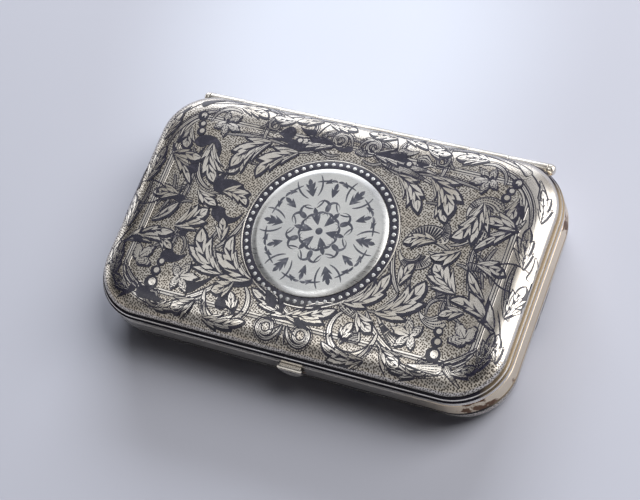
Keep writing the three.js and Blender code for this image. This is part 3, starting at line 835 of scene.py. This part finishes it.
def plateSection():
    # radii and heights from the middle of the field over the bevel, down the rim and back underneath
    bevel = np.linspace(0, 1, plateForm["bevelSteps"])
    field, outer, top = plateForm["field"], plateForm["radius"], plateForm["top"]
    radii = [[axisRadius, *plateForm["flatRadii"], plateForm["flatTo"], field],
             field + plateForm["bevelWidth"] * bevel,
             [outer, outer, plateForm["underRadius"], axisRadius]]
    heights = [[top] * 4 + [plateForm["fieldEdge"]],
               plateForm["fieldEdge"] - plateForm["bevelDrop"] * bevel ** plateForm["bevelPower"],
               [plateForm["rimTop"], plateForm["rimFoot"], plateForm["seatZ"], plateForm["seatZ"]]]
    return np.concatenate(radii), np.concatenate(heights)


plateGrid = roundGrid(*plateSection(), plateForm["centre"])
addPiece("cartouche_disc", *stackGrids([plateGrid], False, True), "plate", "lid", "bright_silver", sharp=60.0,
         replaced=("cartouche_plate",))

ringForm = {
    "inner": 15.0, "outer": 17.0, "darkLift": 0.02, "darkThickness": 0.06,
    "wireInner": 17.0, "wireOuter": 17.25, "wireLift": 0.05, "wireThickness": 0.08, "lineOuter": 17.45,
    "pearls": 61, "pearlRadius": 0.43, "pearlCentre": 16.08, "pearlLift": 0.03, "pearlRise": 0.10,
    "pearlThickness": 0.05, "pearlSteps": 16, "pearlRings": (1.0, 0.8, 0.45, 1e-3),
}


def faceRound(form, inner, outer, lift, rings=9, steps=240):
    # flat circles dropped on the face
    angle = np.linspace(0, 2 * math.pi, steps, endpoint=False)
    radii = np.linspace(outer, inner, rings)[:, None]
    x = plateForm["centre"][0] + radii * np.cos(angle)
    y = plateForm["centre"][1] + radii * np.sin(angle)
    return laidOn(form, x, y, lift)


def pearl(angle):
    # a low dome: its height falls as the square of the distance from its middle
    around = np.linspace(0, 2 * math.pi, ringForm["pearlSteps"], endpoint=False)
    shares = np.array(ringForm["pearlRings"])[:, None]
    radii = shares * ringForm["pearlRadius"]
    x = plateForm["centre"][0] + ringForm["pearlCentre"] * math.cos(angle) + radii * np.cos(around)
    y = plateForm["centre"][1] + ringForm["pearlCentre"] * math.sin(angle) + radii * np.sin(around)
    rise = ringForm["pearlRise"] * (1 - shares ** 2)
    return laidOn(lidForm, x, y, ringForm["pearlLift"]) + np.array([0, 0, 1]) * rise[..., None]


ringDark = [faceRound(lidForm, ringForm["inner"], ringForm["outer"], ringForm["darkLift"]),
            faceRound(lidForm, ringForm["wireOuter"], ringForm["lineOuter"], ringForm["darkLift"], 3)]
ringWire = [faceRound(lidForm, ringForm["wireInner"], ringForm["wireOuter"], ringForm["wireLift"], 4)]
pearls = [pearl(a) for a in np.linspace(0, 2 * math.pi, ringForm["pearls"], endpoint=False)]
for pieceName, grids, finish, thickness in (
        ("lid_ring_niello", ringDark, "niello", ringForm["darkThickness"]),
        ("lid_ring_wire", ringWire, "silver", ringForm["wireThickness"]),
        ("lid_ring_pearls", pearls, "plate", ringForm["pearlThickness"])):
    addLaid(pieceName, grids, finish, "lid", "silver", thickness)
print("plate and ring made")


# Border lines at the foot of the shoulders

borderForm = {
    "band": (-0.8, 0.75), "bandLift": 0.008, "lines": (-0.62, 0.0, 0.58), "halfWidth": 0.12,
    "lineLift": 0.014, "thickness": 0.03,
}


def borderStrip(form, low, high, lift):
    # a strip between two distances outwards from the border, laid on the face
    away = np.linspace(high, low, 5)
    endInset, sideInset = caseForm["panelEnd"] - away, caseForm["panelSide"] - away
    x, y = ringPoints(plainStations, endInset, sideInset, caseForm["panelShift"])
    return laidOn(form, x, y, lift)


for form, body, slotName, order in ((lidForm, "lid", "silver", 1), (baseForm, "base", "toned_silver", -1)):
    strip = [borderStrip(form, *borderForm["band"], borderForm["bandLift"])[::order]]
    lines = [borderStrip(form, at - borderForm["halfWidth"], at + borderForm["halfWidth"],
                         borderForm["lineLift"])[::order] for at in borderForm["lines"]]
    for kind, grids, finish in (("plain", strip, "silver"), ("lines", lines, "niello")):
        addLaid(f"{body}_border_{kind}", grids, finish, body, slotName, borderForm["thickness"])
print("borders made")


# Foliage: every motif is a plan shape along a swirl, dropped on the face afterwards

leafStyle = {
    "samples": 85, "sweep": 0.80, "tooth": 0.09, "darkDepth": 0.56, "outline": 0.21, "shadow": (0.24, -0.34),
    "bright": 0.93, "brightDepth": 0.68, "brightReach": 0.95,
    "vein": 0.56, "veinLobes": 2, "veinDepth": 0.97, "veinReach": 0.9, "veinSpike": 3.2, "veinSweep": 1.5,
    "veinSides": (1.3, 0.7), "midrib": 0.11, "midribReach": 0.85, "outlineEnd": 12,
}
stemStyle = {
    "samples": 48, "edge": 0.30, "edgeTaper": 0.35, "core": 0.85, "coreTaper": 0.1, "vein": 0.14,
    "veinTaper": 0.2, "echo": 0.55, "echoWidth": 0.19, "echoTaper": 0.1,
}
commaStyle = {
    "samples": 60, "edge": 0.05, "hatchedEdge": 0.20, "hatchedCore": 0.12, "stroke": 0.27,
    "strokesFrom": 0.3, "strokesTo": 0.96, "strokesPerLength": 2.4, "widest": 0.9, "growth": 1.1,
}
ivyStyle = {
    "bright": 0.94, "serration": 0.06, "teeth": 24, "veinStep": 55.0, "veinReach": 0.66, "veinShorter": 0.16,
    "veinHalf": 0.12, "wedgeFrom": 0.5, "wedgePast": 0.1, "wedgeHalf": 0.03, "wedgeGrowth": 0.05,
}
berryStyle = {"across": 0.15, "up": 0.12, "bright": 0.52}
plainSteps = {"ivy": 109, "ivyRings": 5, "disc": 25, "discRings": 3, "vein": 8, "stroke": 4, "rosette": 61}
innermost = 0.001  # the share of its size at which a leaf or disc of rings stops
ivyReach = {  # radius of the ivy leaf at angles from its tip to its stalk, as shares of its size
    5: ((0, 13, 29, 45, 57, 72, 88, 104, 122, 150, 180),
        (1.0, 0.78, 0.44, 0.66, 0.92, 0.66, 0.36, 0.54, 0.70, 0.42, 0.12)),
    3: ((0, 15, 36, 52, 68, 90, 125, 180), (1.0, 0.76, 0.42, 0.66, 0.90, 0.56, 0.40, 0.12)),
}
ivyNotch = {5: (29, 88), 3: (36, 125)}
motifs = []  # plan grids of each motif: its dark scrolls or leaf, the silver on it and the lines on that


def newMotif():
    motifs.append({"scrolls": [], "niello": [], "foliage": [], "veins": []})
    return motifs[-1]


def swirl(x, y, heading, length, turn, tighten=1.0, count=40):
    # walks length from (x, y); the heading turns by turn degrees, later where tighten is over 1
    t = np.linspace(0, 1, count)
    angle = np.radians(heading + turn * ((t[1:] + t[:-1]) / 2) ** tighten)
    step = length / (count - 1)
    px = x + np.concatenate([[0], np.cumsum(np.cos(angle))]) * step
    py = y + np.concatenate([[0], np.cumsum(np.sin(angle))]) * step
    facing = np.radians(heading + turn * t ** tighten)
    return {"t": t, "x": px, "y": py, "along": np.stack([np.cos(facing), np.sin(facing)], 1)}


def spread(path, leftHalf, rightHalf, sweep=0.0, across=5):
    # plan grid: middle line plus half width times the side direction, swept forward at the edges by 1 - t^3
    s = np.linspace(-1, 1, across)
    half = np.where(s[None, :] > 0, leftHalf[:, None], rightHalf[:, None]) * s[None, :]
    ax, ay = path["along"][:, :1], path["along"][:, 1:]
    forward = np.abs(half) * sweep * (1 - path["t"][:, None] ** 3)
    x = path["x"][:, None] - ay * half + ax * forward
    y = path["y"][:, None] + ax * half + ay * forward
    return np.stack([x, y], -1)


def ribbon(path, width, taper=0.3):
    # half width times a root of the half sine, so it thins towards both ends
    half = width / 2 * (taper + (1 - taper) * np.sin(math.pi * path["t"]) ** 0.5)
    return spread(path, half, half, across=3)


def leafHalf(t, width, lobes, depth, reach=1.0, spike=0.75):
    # u^0.5 (1-u)^0.95 swells fast and closes to a point; a rising saw cuts forward lobes, a finer one
    # cuts their teeth
    u = np.clip(t / reach, 0, 1)
    swell = u ** 0.5 * (1 - u) ** 0.95 / 0.385
    saw = (lobes * u ** 0.85) % 1.0
    fine = (3 * lobes * u ** 0.85) % 1.0
    return width / 2 * swell * (1 - depth * (1 - saw ** spike)) * (1 - leafStyle["tooth"] * (1 - fine))


def commaShape(path, radius, extra=0.0):
    # grows from a thin tail as a power of t, then closes round the head as a half circle
    t = path["t"]
    length = np.hypot(np.diff(path["x"]), np.diff(path["y"])).sum()
    head = radius / length
    grow = radius * np.clip(t / (1 - head), 0, 1) ** commaStyle["growth"]
    rounded = radius * np.sqrt(np.clip(1 - ((t - (1 - head)) / head) ** 2, 0, 1))
    half = np.where(t < 1 - head, grow, rounded)
    return spread(path, half + extra, half + extra)


def ivyShape(x, y, heading, size, lobes, extra=0.0):
    # polar leaf: radius read off the reach table, with a fine cosine serration
    around = np.linspace(-math.pi, math.pi, plainSteps["ivy"])
    reach = np.interp(np.abs(np.degrees(around)), *ivyReach[lobes])
    teeth = 1 - ivyStyle["serration"] * (1 - np.cos(ivyStyle["teeth"] * around))
    radius = size * reach * teeth + extra
    share = np.linspace(1, innermost, plainSteps["ivyRings"])[:, None]
    angle = around + math.radians(heading)
    return np.stack([x + share * radius * np.cos(angle), y + share * radius * np.sin(angle)], -1)


def discShape(x, y, radius):
    # circles of share times radius
    around = np.linspace(0, 2 * math.pi, plainSteps["disc"])
    share = np.linspace(1, innermost, plainSteps["discRings"])[:, None]
    return np.stack([x + share * radius * np.cos(around), y + share * radius * np.sin(around)], -1)


def addStem(x, y, heading, length, turn, tighten, width):
    motif = newMotif()
    path = swirl(x, y, heading, length, turn, tighten, stemStyle["samples"])
    motif["scrolls"].append(ribbon(path, width + 2 * stemStyle["edge"], stemStyle["edgeTaper"]))
    motif["foliage"].append(ribbon(path, width * stemStyle["core"], stemStyle["coreTaper"]))
    motif["veins"].append(ribbon(path, stemStyle["vein"], stemStyle["veinTaper"]))
    away = (width / 2 + stemStyle["echo"]) * (1 if turn < 0 else -1)  # a fine line runs along the outside
    echo = dict(path, x=path["x"] - away * path["along"][:, 1], y=path["y"] + away * path["along"][:, 0])
    motif["scrolls"].append(ribbon(echo, stemStyle["echoWidth"], stemStyle["echoTaper"]))


def addLine(x, y, heading, length, turn, tighten, width):
    path = swirl(x, y, heading, length, turn, tighten)
    newMotif()["scrolls"].append(ribbon(path, width, stemStyle["echoTaper"]))


def addShaded(motif, shade):  # the dark outline, and its shadow to one side on every second point
    motif["niello"].append(shade)
    motif["niello"].append(shade[::2, ::2] + np.array(leafStyle["shadow"]))


def addLeaf(x, y, heading, length, turn, width, lobes, tilt):
    # tilt moves width from the right half of the leaf to its left half
    motif = newMotif()
    path = swirl(x, y, heading, length, turn, count=leafStyle["samples"])
    t, left, right = path["t"], 1 + tilt, 1 - tilt
    half = leafHalf(t, width, lobes, leafStyle["darkDepth"])
    edge = leafStyle["outline"] * np.clip(leafStyle["outlineEnd"] * (1 - t), 0, 1)  # thins before the tip
    addShaded(motif, spread(path, half * left + edge, half * right + edge, leafStyle["sweep"]))
    half = leafHalf(t, width * leafStyle["bright"], lobes, leafStyle["brightDepth"], leafStyle["brightReach"])
    motif["foliage"].append(spread(path, half * left, half * right, leafStyle["sweep"]))
    half = leafHalf(t, width * leafStyle["vein"], lobes + leafStyle["veinLobes"], leafStyle["veinDepth"],
                    leafStyle["veinReach"], leafStyle["veinSpike"])
    half += leafStyle["midrib"] * np.clip(1 - t / leafStyle["midribReach"], 0, 1)
    shadeLeft, shadeRight = leafStyle["veinSides"]
    motif["veins"].append(spread(path, shadeLeft * half * left, shadeRight * half * right,
                                 leafStyle["veinSweep"]))


def addIvy(x, y, heading, size, lobes):
    motif = newMotif()
    addShaded(motif, ivyShape(x, y, heading, size, lobes, leafStyle["outline"]))
    motif["foliage"].append(ivyShape(x, y, heading, size * ivyStyle["bright"], lobes))
    for lobe in range(-(lobes // 2), lobes // 2 + 1):
        reach = size * (ivyStyle["veinReach"] - ivyStyle["veinShorter"] * abs(lobe))
        vein = swirl(x, y, heading + lobe * ivyStyle["veinStep"], reach, 0, count=plainSteps["vein"])
        half = ivyStyle["veinHalf"] * (1 - vein["t"])
        motif["veins"].append(spread(vein, half, half, across=3))
    for notch in ivyNotch[lobes]:  # a dark wedge runs in from each notch
        reach = size * np.interp(notch, *ivyReach[lobes])
        start = ivyStyle["wedgeFrom"] * reach
        for angle in (heading + notch, heading - notch):
            wedgeX = x + start * math.cos(math.radians(angle))
            wedgeY = y + start * math.sin(math.radians(angle))
            length = reach - start + ivyStyle["wedgePast"]
            wedge = swirl(wedgeX, wedgeY, angle, length, 0, count=plainSteps["vein"])
            half = ivyStyle["wedgeHalf"] + ivyStyle["wedgeGrowth"] * size * wedge["t"]
            motif["veins"].append(spread(wedge, half, half, across=3))


def addComma(x, y, heading, length, turn, radius, hatched=False):
    # solid dark, or hatched across with silver between the strokes
    motif = newMotif()
    path = swirl(x, y, heading, length, turn, count=commaStyle["samples"])
    edge = commaStyle["hatchedEdge"] if hatched else commaStyle["edge"]
    motif["scrolls"].append(commaShape(path, radius, edge))
    if not hatched:
        return
    motif["foliage"].append(commaShape(path, radius - commaStyle["hatchedCore"]))
    strokes = int(length * commaStyle["strokesPerLength"])
    for t in np.linspace(commaStyle["strokesFrom"], commaStyle["strokesTo"], strokes):
        at = int(t * (commaStyle["samples"] - 1))
        ax, ay = path["along"][at]
        half = radius * min(t ** commaStyle["growth"], commaStyle["widest"])
        stroke = swirl(path["x"][at] + half * ay, path["y"][at] - half * ax,
                       math.degrees(math.atan2(ax, -ay)), 2 * half, 0, count=plainSteps["stroke"])
        motif["veins"].append(ribbon(stroke, commaStyle["stroke"], 1.0))


def addBerry(x, y, radius):
    motif = newMotif()
    motif["niello"].append(discShape(x, y, radius))
    motif["foliage"].append(discShape(x + berryStyle["across"] * radius, y + berryStyle["up"] * radius,
                                      radius * berryStyle["bright"]))


# Motifs of the left half: x, y, heading, length, turn, then width, lobes and tilt of a leaf, radius of a
# comma, or tightening and width of a stem or line; an ivy leaf ends in size and lobes, a berry in radius
leftFoliage = {
    "leaf": [
        (-18.6, 17.6, 200, 11.4, 62, 6.6, 3, 0.1), (-11.6, 16.4, 196, 11.4, 62, 5.2, 3, -0.25),
        (-31.6, 14.4, 266, 10.8, 56, 6.0, 3, 0.35), (-40.6, 10.2, 12, 8.2, -24, 3.8, 2, -0.4),
        (-39.6, 9.8, -30, 9.2, -26, 2.4, 2, 0.0), (-30.6, 3.0, -46, 6.8, 40, 3.4, 2, 0.3),
        (-24.8, 3.6, 14, 7.4, -64, 3.8, 3, 0.3), (-38.4, 17.4, 264, 5.8, 34, 4.4, 2, 0.0),
        (-4.6, 20.2, 176, 9.0, 20, 4.2, 3, 0.15), (-29.2, 24.6, 8, 7.4, -36, 4.0, 3, 0.2),
        (-43.9, 2.6, 78, 9.2, 6, 4.0, 3, 0.2), (-44.2, 13.4, 84, 7.6, -20, 2.8, 3, -0.3),
        (-9.6, 25.8, 186, 6.2, 20, 2.4, 2, 0.3), (-32.6, -6.4, 28, 8.6, 26, 6.2, 3, 0.0),
        (-42.4, -11.8, 44, 11.8, -50, 4.6, 3, -0.5), (-38.6, -6.2, 34, 7.4, 26, 2.4, 1, 0.0),
        (-17.6, -14.6, 166, 13.4, -70, 6.8, 3, 0.0), (-10.6, -14.2, 176, 13.0, -92, 5.6, 3, 0.4),
        (-14.2, -15.4, 232, 5.6, -30, 4.2, 2, 0.0), (0.8, -19.8, 172, 11.6, -24, 4.4, 3, -0.2),
        (-21.4, -21.2, 226, 6.0, -30, 5.2, 2, 0.0), (-18.6, -24.6, -14, 10.4, 46, 3.6, 3, 0.4),
        (-30.0, -25.2, 12, 7.0, 6, 2.4, 3, 0.4), (-43.6, -8.6, 100, 8.4, 8, 3.8, 3, 0.0),
        (-42.0, -20.6, 100, 8.6, -8, 3.2, 3, 0.2), (-34.6, 0.8, 172, 6.6, 30, 3.8, 2, 0.0),
        (-22.6, 13.0, 252, 5.8, -24, 3.4, 2, 0.0), (-20.6, -7.6, 96, 5.8, 24, 3.2, 2, 0.2),
        (-8.0, 25.4, 4, 6.8, -12, 3.4, 3, 0.0), (-15.6, 24.2, 196, 5.4, -30, 3.0, 2, 0.0),
        (-12.6, -22.6, 96, 5.2, 24, 3.0, 2, 0.0),
        (-37.0, -22.8, 160, 5.6, -20, 2.8, 2, 0.0), (-26.0, -8.8, 300, 5.0, 30, 3.0, 2, 0.0),
        (-35.6, -9.8, 350, 5.4, -30, 3.0, 2, 0.0), (-44.8, -18.0, 74, 6.0, 10, 2.6, 2, 0.0),
    ],
    "ivy": [(-30.9, 20.0, -20, 4.3, 5), (-37.6, -15.2, 48, 4.2, 3), (-26.6, -17.4, 10, 4.6, 5)],
    "comma": [
        (-29.6, 9.8, 62, 10.6, 178, 1.5), (-18.8, 1.2, 86, 11.4, 158, 1.65),
        (-18.2, 0.0, 262, 9.0, -168, 1.6), (-26.8, -12.0, 240, 6.6, -110, 1.6),
        (-14.8, -15.6, 262, 6.6, 6, 1.4), (-18.2, 20.2, 20, 4.0, -30, 1.8),
        (-19.8, 18.2, 20, 9.4, -50, 1.15), (-20.0, 15.8, 20, 9.4, -10, 0.9),
        (-17.4, -16.8, 0, 7.8, 46, 1.3), (-27.8, -23.2, 182, 7.4, -20, 1.35),
        (-18.4, -14.9, 232, 8.0, -26, 1.05), (-33.0, 13.6, 250, 7.6, 30, 1.2),
        (-41.2, 13.0, 286, 5.4, 50, 1.0), (-24.0, 1.0, 200, 5.6, -40, 1.1),
        (-26.6, -5.4, 190, 5.0, 60, 0.9), (-43.6, -14.0, 60, 6.4, -30, 0.9),
        (-41.0, 22.6, 236, 5.0, 20, 0.9), (-7.0, 18.4, 200, 5.2, -30, 0.8),
        (-37.6, -1.6, 60, 5.4, -90, 0.9), (-30.2, -1.4, 20, 5.2, -110, 1.0),
        (-24.6, 8.6, 200, 4.8, 100, 0.95), (-14.0, 23.0, 320, 4.6, 60, 1.0),
        (-4.6, 19.8, 330, 4.4, 80, 0.8), (-45.4, 6.0, 250, 5.6, 30, 0.9),
        (-39.6, -25.0, 30, 5.0, 20, 0.8), (-34.0, 25.8, 200, 5.4, 20, 0.8),
    ],
    "stem": [
        (-15.2, 17.6, 170, 15.0, 24, 1.0, 0.5), (-42.4, 11.4, 88, 17.5, -84, 1.0, 0.65),
        (-36.2, 24.2, 22, 20.0, -58, 1.4, 0.6), (-33.0, 11.4, 262, 10.4, 86, 1.1, 0.7),
        (-28.4, 2.2, 28, 10.4, -50, 1.0, 0.65), (-34.4, 19.4, 96, 9.0, -130, 1.0, 0.5),
        (-20.4, 17.2, 112, 12.6, -120, 1.1, 0.75), (-12.4, 25.8, -20, 6.0, -110, 1.0, 0.5),
        (-12.0, 16.4, 16, 12.4, 40, 1.0, 0.6), (-3.4, 20.4, 50, 15.5, 350, 0.75, 0.5),
        (-44.6, -9.0, 60, 12.6, 40, 1.0, 0.6), (-17.2, -0.4, 266, 10.0, -40, 1.0, 0.7),
        (-16.0, -14.6, 180, 12.4, -52, 1.0, 0.5), (-16.0, -14.8, 238, 11.2, -38, 1.0, 0.8),
        (-19.6, -20.0, 224, 18.4, -70, 1.0, 0.7), (-19.8, -18.6, 268, 21.0, 236, 1.1, 1.1),
        (-10.6, -14.8, 0, 12.4, -52, 1.0, 0.5),
        (-32.4, -6.0, 310, 7.6, -80, 1.0, 0.4), (-28.4, -12.4, 60, 7.2, 150, 1.0, 0.4),
        (-40.6, -16.4, -58, 12.0, 52, 1.0, 0.6),
        (-33.6, 8.6, 280, 14.0, -30, 1.0, 0.5), (-37.6, 5.4, 300, 9.8, -60, 1.0, 0.45),
        (-24.6, 13.0, 250, 8.0, 30, 1.0, 0.35), (-33.2, 3.0, 200, 8.4, 50, 1.0, 0.4),
        (-36.0, 12.6, 300, 6.4, 60, 1.0, 0.35), (-15.4, -25.6, 160, 6.0, -60, 1.0, 0.4),
        (-36.6, -3.8, 66, 7.4, -70, 1.0, 0.4), (-22.2, -2.8, 280, 8.2, -60, 1.0, 0.4),
        (-7.4, 22.2, 20, 7.6, -40, 1.0, 0.4), (-23.0, 20.4, 30, 6.4, 70, 1.0, 0.4),
        (-36.2, -12.6, 20, 8.0, 60, 1.0, 0.4), (-46.2, 4.8, 262, 9.6, 12, 1.0, 0.4),
        (-25.4, 10.4, 40, 6.0, -60, 1.0, 0.35),
        (-0.6, -22.0, 258, 20.0, -640, 1.5, 0.7), (-0.8, 20.6, 100, 17.0, 620, 1.5, 0.6),
        (-28.6, -24.4, 196, 10.0, -420, 1.8, 0.4), (-18.6, 24.6, 200, 10.0, 420, 1.8, 0.4),
    ],
    "line": [
        (-46.0, 1.8, 34, 11.6, -100, 1.0, 0.34), (-45.8, -2.4, -24, 11.6, 100, 1.0, 0.34),
        (-33.0, 5.0, 240, 7.0, 34, 1.0, 0.3), (-22.6, 15.6, 246, 8.4, -6, 1.0, 0.3),
        (-43.4, 17.4, 70, 9.4, -40, 1.0, 0.34), (-33.6, -2.6, 110, 7.4, -24, 1.0, 0.3),
        (-44.6, -14.8, 80, 7.8, -20, 1.0, 0.34), (-22.6, -25.4, 176, 13.6, -24, 1.0, 0.3),
        (-9.4, 21.0, 84, 6.0, -34, 1.0, 0.36), (-10.6, 21.2, 96, 5.4, -20, 1.0, 0.3),
        (-6.6, 26.2, 180, 9.0, 20, 1.0, 0.3), (-25.4, 25.6, 0, 9.0, -10, 1.0, 0.3),
        (-36.2, -19.6, 300, 6.4, 40, 1.0, 0.3), (-22.4, -10.8, 250, 5.0, -30, 1.0, 0.3),
        (-0.5, -21.6, 232, 3.4, -30, 1.0, 0.4), (-0.2, -21.8, 262, 4.0, -6, 1.0, 0.4),
    ],
    "berry": [
        (-36.9, 20.5, 1.25), (-36.2, 18.4, 1.0), (-35.7, 16.6, 1.1), (-12.8, 19.4, 1.0),
        (-32.0, -15.2, 1.05), (-32.4, -17.4, 1.2), (-32.5, -20.1, 1.6),
    ],
}


def mirrored(entry):  # the same motif on the other half: x and the turn change sign
    x, y, heading, length, turn, *rest = entry
    return (-x, y, 180 - heading, length, -turn, *rest)


# Each motif lies over the ones before it: stems, lines and commas lowest, then leaves and berries
for kind, addMotif in (("stem", addStem), ("line", addLine)):
    for entry in leftFoliage[kind]:
        addMotif(*entry)
        addMotif(*mirrored(entry))
for entry in leftFoliage["comma"]:
    addComma(*entry)
    addComma(*mirrored(entry), hatched=True)
for entry in leftFoliage["leaf"][::-1]:
    addLeaf(*entry)
    addLeaf(*mirrored(entry))
for x, y, heading, size, lobes in leftFoliage["ivy"]:
    addIvy(x, y, heading, size, lobes)
    addIvy(-x, y, 180 - heading, size, lobes)
for x, y, radius in leftFoliage["berry"]:
    addBerry(x, y, radius)
    addBerry(-x, y, radius)


def facingOut(surface, upward):
    # turns the grid over where its quads, summed up, face the wrong way
    along = surface[1:, :-1] - surface[:-1, :-1]
    across = surface[:-1, 1:] - surface[:-1, :-1]
    return surface if (np.cross(along, across)[..., 2].sum() < 0) == upward else surface[::-1]


layStyle = {"lift": 0.022, "step": 0.0004, "thickness": 0.04}
foliageLayers = (  # kind, finish, and how far up it lies among its motif's layers
    ("scrolls", "niello", 0), ("niello", "niello", 0), ("foliage", "silver", 1), ("veins", "niello", 2),
)


def layFoliage(form, body, slotName):
    # drops every plan grid on the face, each motif a hair higher than the one before it
    for kind, finish, height in foliageLayers:
        laid = []
        for number, motif in enumerate(motifs):
            lift = layStyle["lift"] + layStyle["step"] * (number + height / 3)
            laid += [facingOut(laidOn(form, grid[..., 0], grid[..., 1], lift), form["crown"] > 0)
                     for grid in motif[kind]]
        addLaid(f"{body}_{kind}", laid, finish, body, slotName, layStyle["thickness"], engraved=True)


layFoliage(lidForm, "lid", "silver")
layFoliage(baseForm, "base", "toned_silver")
print("foliage laid:", len(motifs), "motifs")


# Rosette on the round plate: one sixth is drawn, then turned round the middle

rosetteForm = {"copies": 6, "hub": 0.8, "lift": 0.012, "step": 0.0005, "thickness": 0.03, "lineTaper": 0.15}
rosetteLeaves = [  # x, y, heading, length, width, lobes
    (1.5, 0.0, 0, 4.3, 2.1, 2), (8.4, 0.0, 0, 4.5, 2.7, 3), (6.9, 3.98, 30, 3.6, 1.9, 2),
]
rosetteHalf = {
    "leaf": [(10.6, 3.1, 66, 2.9, 60, 1.2, 2)],
    "comma": [(6.0, 0.5, 22, 5.6, 235, 0.5), (3.4, 1.1, 50, 3.0, 130, 0.34)],
    "line": [(8.3, 1.0, 50, 5.2, -62, 0.40), (11.6, 1.5, 96, 4.6, 24, 0.42), (5.6, 0.3, 76, 2.6, -40, 0.34)],
}


def turnedAbout(grid, angle, number=0):
    # each shape a hair higher than the one before it
    c, s = math.cos(angle), math.sin(angle)
    x = plateForm["centre"][0] + grid[..., 0] * c - grid[..., 1] * s
    y = plateForm["centre"][1] + grid[..., 0] * s + grid[..., 1] * c
    z = plateForm["top"] + rosetteForm["lift"] + rosetteForm["step"] * number
    return np.stack([x, y, np.full(x.shape, z)], -1)


def rosetteLeaf(x, y, heading, length, turn, width, lobes):
    path = swirl(x, y, heading, length, turn, count=plainSteps["rosette"])
    half = leafHalf(path["t"], width, lobes, leafStyle["brightDepth"])
    return spread(path, half, half, leafStyle["sweep"])


sector = [rosetteLeaf(x, y, heading, length, 0, width, lobes)
          for x, y, heading, length, width, lobes in rosetteLeaves]
for side in (1, -1):
    for x, y, heading, length, turn, width, lobes in rosetteHalf["leaf"]:
        sector.append(rosetteLeaf(x, side * y, side * heading, length, side * turn, width, lobes))
    for x, y, heading, length, turn, radius in rosetteHalf["comma"]:
        sector.append(commaShape(swirl(x, side * y, side * heading, length, side * turn), radius))
    for x, y, heading, length, turn, width in rosetteHalf["line"]:
        line = swirl(x, side * y, side * heading, length, side * turn)
        sector.append(ribbon(line, width, rosetteForm["lineTaper"]))
rosette = [turnedAbout(discShape(0.0, 0.0, rosetteForm["hub"]), 0.0)]
for copy in range(rosetteForm["copies"]):
    angle = 2 * math.pi * copy / rosetteForm["copies"]
    rosette += [turnedAbout(grid, angle, number) for number, grid in enumerate(sector)]
addLaid("plate_rosette_niello", [facingOut(grid, True) for grid in rosette], "plate niello", "lid",
        "bright_silver", rosetteForm["thickness"], engraved=True)
print("rosette made")


# Carried CAD nodes get their finishes

nodeFinish = {
    "base_liner": "gilt", "base_hinge_bearer": "gilt", "lid_hinge_bearer": "gilt", "lid_keeper": "gilt",
    "catch_spring": "steel", "catch_rivet_left": "steel", "catch_rivet_right": "steel", "latch_hook": "steel",
}
for nodeName, finish in nodeFinish.items():
    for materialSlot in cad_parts[nodeName].material_slots:
        materialSlot.material = finishes[finish]
print("carried nodes finished")
